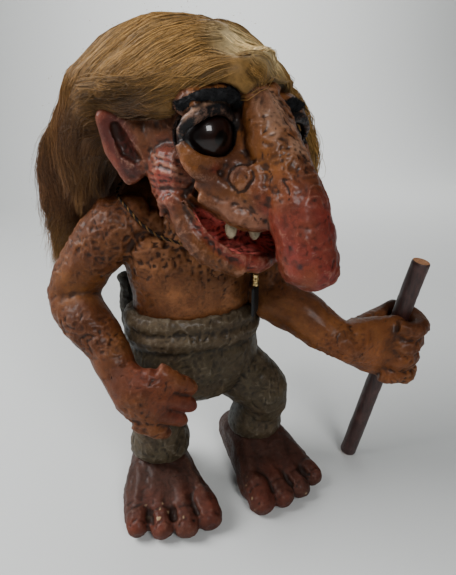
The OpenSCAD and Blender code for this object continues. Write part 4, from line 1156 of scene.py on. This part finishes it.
bundles = {n: [] for n in wig_nodes}
for p, n in roots:
    k = int(np.argmin([t.find_nearest(Vector(p))[3] for t in node_trees]))
    long = chance.uniform(26, 72)
    h = to_head(p[None])[0]
    over_face = h[1] < 10 and h[0] < 24
    loose = 1 if over_face else int(chance.integers(2, 9 if h[2] < EAR_H else 5))
    path, ups = follow(p, int(long / 2), 2 * MM, loose)
    if len(path) >= 5:
        s = np.linspace(0, len(path) - 1, STRAND_POINTS)
        guide, up = (np.stack([np.interp(s, range(len(path)), v[:, c]) for c in range(3)], 1)
                     for v in (path, ups))
        bundles[wig_nodes[k]].append((guide, unit(up)))

t = np.linspace(0, 1, STRAND_POINTS)
arch = np.sin(np.pi * np.clip(t * 0.9 + 0.06, 0, 1)) ** 0.7
for node, title in zip(wig_nodes, ("wig_crown_hair", "wig_fringe_hair", "right_lock_hair", "back_lock_hair",
                                   "left_lock_hair")):
    strands = []
    for guide, up in bundles[node]:
        out = np.cross(unit(np.gradient(guide, axis=0), TINY), up)
        wide = chance.uniform(1.4, 3.2)
        swell = lumps(guide[2:3] / MM, 6.5, 121)[0]
        rise = 0.35 + 0.45 * swell + chance.uniform(-0.25, 0.3)
        tone = np.clip(0.5 + 0.55 * swell + chance.uniform(-0.3, 0.3), 0, 1)
        # The strands of a lock wave together, and its ends part and stand off below the ears.
        hang = np.clip((EAR_H - to_head(guide[-1:])[0, 2]) / 20, 0, 1)
        wave = chance.uniform(0.2, 0.6) * np.sin(t * chance.uniform(6, 14) + chance.uniform(0, 6))
        for j in range(STRANDS):
            off = chance.normal() * 0.6
            curl = 0.3 * np.sin(t * chance.uniform(8, 20) + chance.uniform(0, 6))
            aside = wide * off * (1 - 0.5 * t ** 1.5) + wave + curl
            aside = aside + chance.normal() * (0.9 + 2.2 * hang) * t * t
            lift = (max(0.1, rise) + 0.55 * chance.random()) * arch * max(0.2, 1 - 0.5 * off * off) + 0.1
            lift = lift + hang * chance.exponential(1.1) * t * t
            line = guide + out * (aside * MM)[:, None] + up * (lift * MM)[:, None]
            radii = chance.uniform(0.06, 0.12) * MM * (1 - 0.75 * t ** 2) * np.clip(t * 6 + 0.4, 0, 1)
            light = np.clip(0.6 * tone + 0.55 * chance.random(), 0, 1.2)
            share = chance.choice((0.5, 1.0, 1.4), p=(0.22, 0.6, 0.18))
            strands.append((line, radii, wool_colour(line, np.full(STRAND_POINTS, light)) * share))
    for k in range(0, len(strands), PIECE_STRANDS):
        hair_piece(f"{title}_{k // PIECE_STRANDS + 1}", node, strands[k:k + PIECE_STRANDS])

# Short frizz all over the wig, and long stray hairs among it
strands = []
root_at = to_head(np.array([p for p, n in roots]))
hanging = (1.0 + 5 * (root_at[:, 2] < 162)) * ((root_at[:, 1] > 4) | (root_at[:, 2] > 184))
for j, i in enumerate(chance.choice(len(roots), STRAY_HAIRS, p=hanging / hanging.sum())):
    p, n = roots[i]
    long = j < LONG_STRAYS
    p = p + 3 * MM * (1 - long) * chance.normal(size=3)
    way = combing(p[None])[0] + n * chance.uniform(0.1, 0.6) + (0.22 if long else 0.3) * chance.normal(size=3)
    way /= np.linalg.norm(way)
    bend = (0.1 if long else 0.2) * chance.normal(size=3)
    line = [p]
    step = (chance.uniform(8, 30) if long else chance.uniform(5, 13)) / STRAY_STEPS * MM
    for k in range(STRAY_STEPS):
        way = way + bend + 0.05 * chance.normal(size=3) + (0, 0, -0.03)
        way /= np.linalg.norm(way)
        line.append(line[-1] + way * step)
    far = np.array(line) - p
    room = np.where(far > 0, STRAY_HIGH - p, STRAY_LOW - p) / np.where(np.abs(far) < 1e-9, 1e-9, far)
    line = p + far * min(1.0, max(0.05, room.min()))
    strands.append((line, np.full(STRAY_STEPS + 1, chance.uniform(0.04, 0.075) * MM),
                    wool_colour(line, np.full(STRAY_STEPS + 1, chance.uniform(0.2, 1.0)))))
for k in (0, 1):
    hair_piece(f"wig_stray_hair_{k + 1}", "wig_crown", strands[k::2])

# ---- Walking stick ----
# A sawn length of dowel, stained dark maroon, with knife marks down it and bare orange wood at its cut top.
# It is pushed down through the closed fist, stands on the table and can be drawn up again.

STICK_D, STICK_L = 8.0, 109.0
STICK_SIDES = 48
LEAN_OUT, LEAN_AHEAD = 6.5, 11
STICK_FOOT = (73, -12)


def stained_finish():
    """Dark maroon stain that follows the grain and has faded in blotches."""
    m, tree = new_finish("stained_dowel")
    at = place_node(tree, "TexCoord").outputs["Object"]
    along = place_node(tree, "Mapping", {"Vector": at, "Scale": (1.0, 1.0, 0.1)}).outputs["Vector"]
    grain = noise(tree, 900.0, 6.0, 0.7, 0.5, along)
    stain = ramp(tree, grain, ((0.3, (0.009, 0.0035, 0.003)), (0.7, (0.055, 0.018, 0.014))))
    faded = spread(tree, noise(tree, 180.0, 4.0, at=at), 0.5, 0.75, 0.0, 0.5)
    shade(tree, {"Base Color": blend(tree, faded, stain, (0.11, 0.05, 0.045, 1)),
                 "Normal": bump(tree, grain, 0.6, 0.0003), "Roughness": 0.45})
    return m


def cut_finish():
    """Bare orange wood with fine pores."""
    m, tree = new_finish("cut_end")
    pores = ramp(tree, noise(tree, 1800.0, 5.0), ((0.35, (0.25, 0.09, 0.035)), (0.65, (0.6, 0.3, 0.14))))
    shade(tree, {"Base Color": pores, "Roughness": 0.7})
    return m


stick_along = np.array([math.tan(math.radians(LEAN_OUT)), -math.tan(math.radians(LEAN_AHEAD)), 1.0])
stick_along /= np.linalg.norm(stick_along)
stick_foot = figure(*STICK_FOOT, STICK_D / 2 * math.sqrt(1 - stick_along[2] ** 2) + 0.1)
down = np.linspace(0, STICK_L, 150)
stick_line = stick_foot + stick_along * (down * MM)[:, None]
eased = 0.35 * np.clip(1 - np.minimum(down, STICK_L - down) / 0.5, 0, 1) ** 2
points, faces = tube(stick_line, (STICK_D / 2 - 0.04 - eased) * MM, STICK_SIDES)
# Knife marks, long and narrow, are cut in from the round surface.
outward = unit(points - np.repeat(stick_line, STICK_SIDES, 0))
marks_at = np.c_[outward[:, :2] * 4, np.repeat(down, STICK_SIDES) * 0.22]
points = points - outward * (0.16 * (1 - crumple(marks_at, 1.6, 91)) * MM)[:, None]
stick = add_mesh("stick_stained", points, faces, stained_finish())
stick.data.materials.append(cut_finish())
for end in list(stick.data.polygons)[-2:]:
    end.material_index = 1
    end.use_smooth = False
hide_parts("stick")
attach(stick, "stick")

# ---- Dowel and wires inside ----
# A plain turned dowel in the neck, which the head turns on, and bent steel wires in the limbs. They are
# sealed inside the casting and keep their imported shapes.


def wire_finish():
    """Drawn steel wire, duller where the die has marked it."""
    m, tree = new_finish("drawn_wire")
    shade(tree, {"Roughness": spread(tree, noise(tree, 1200.0, 3.0), 0.0, 1.0, 0.25, 0.5),
                 "Base Color": (0.5, 0.5, 0.52, 1), "Metallic": 1.0})
    return m


dowel_wood = fibre_finish("plain_dowel", (0.45, 0.3, 0.16), (0.62, 0.46, 0.28), 700, 0.6)
wire_steel = wire_finish()
for node, finish in (("neck_dowel", dowel_wood), ("shoulder_wire", wire_steel),
                     ("right_leg_wire", wire_steel), ("left_leg_wire", wire_steel)):
    for slot in frame["nodes"][node].material_slots:
        slot.material = finish
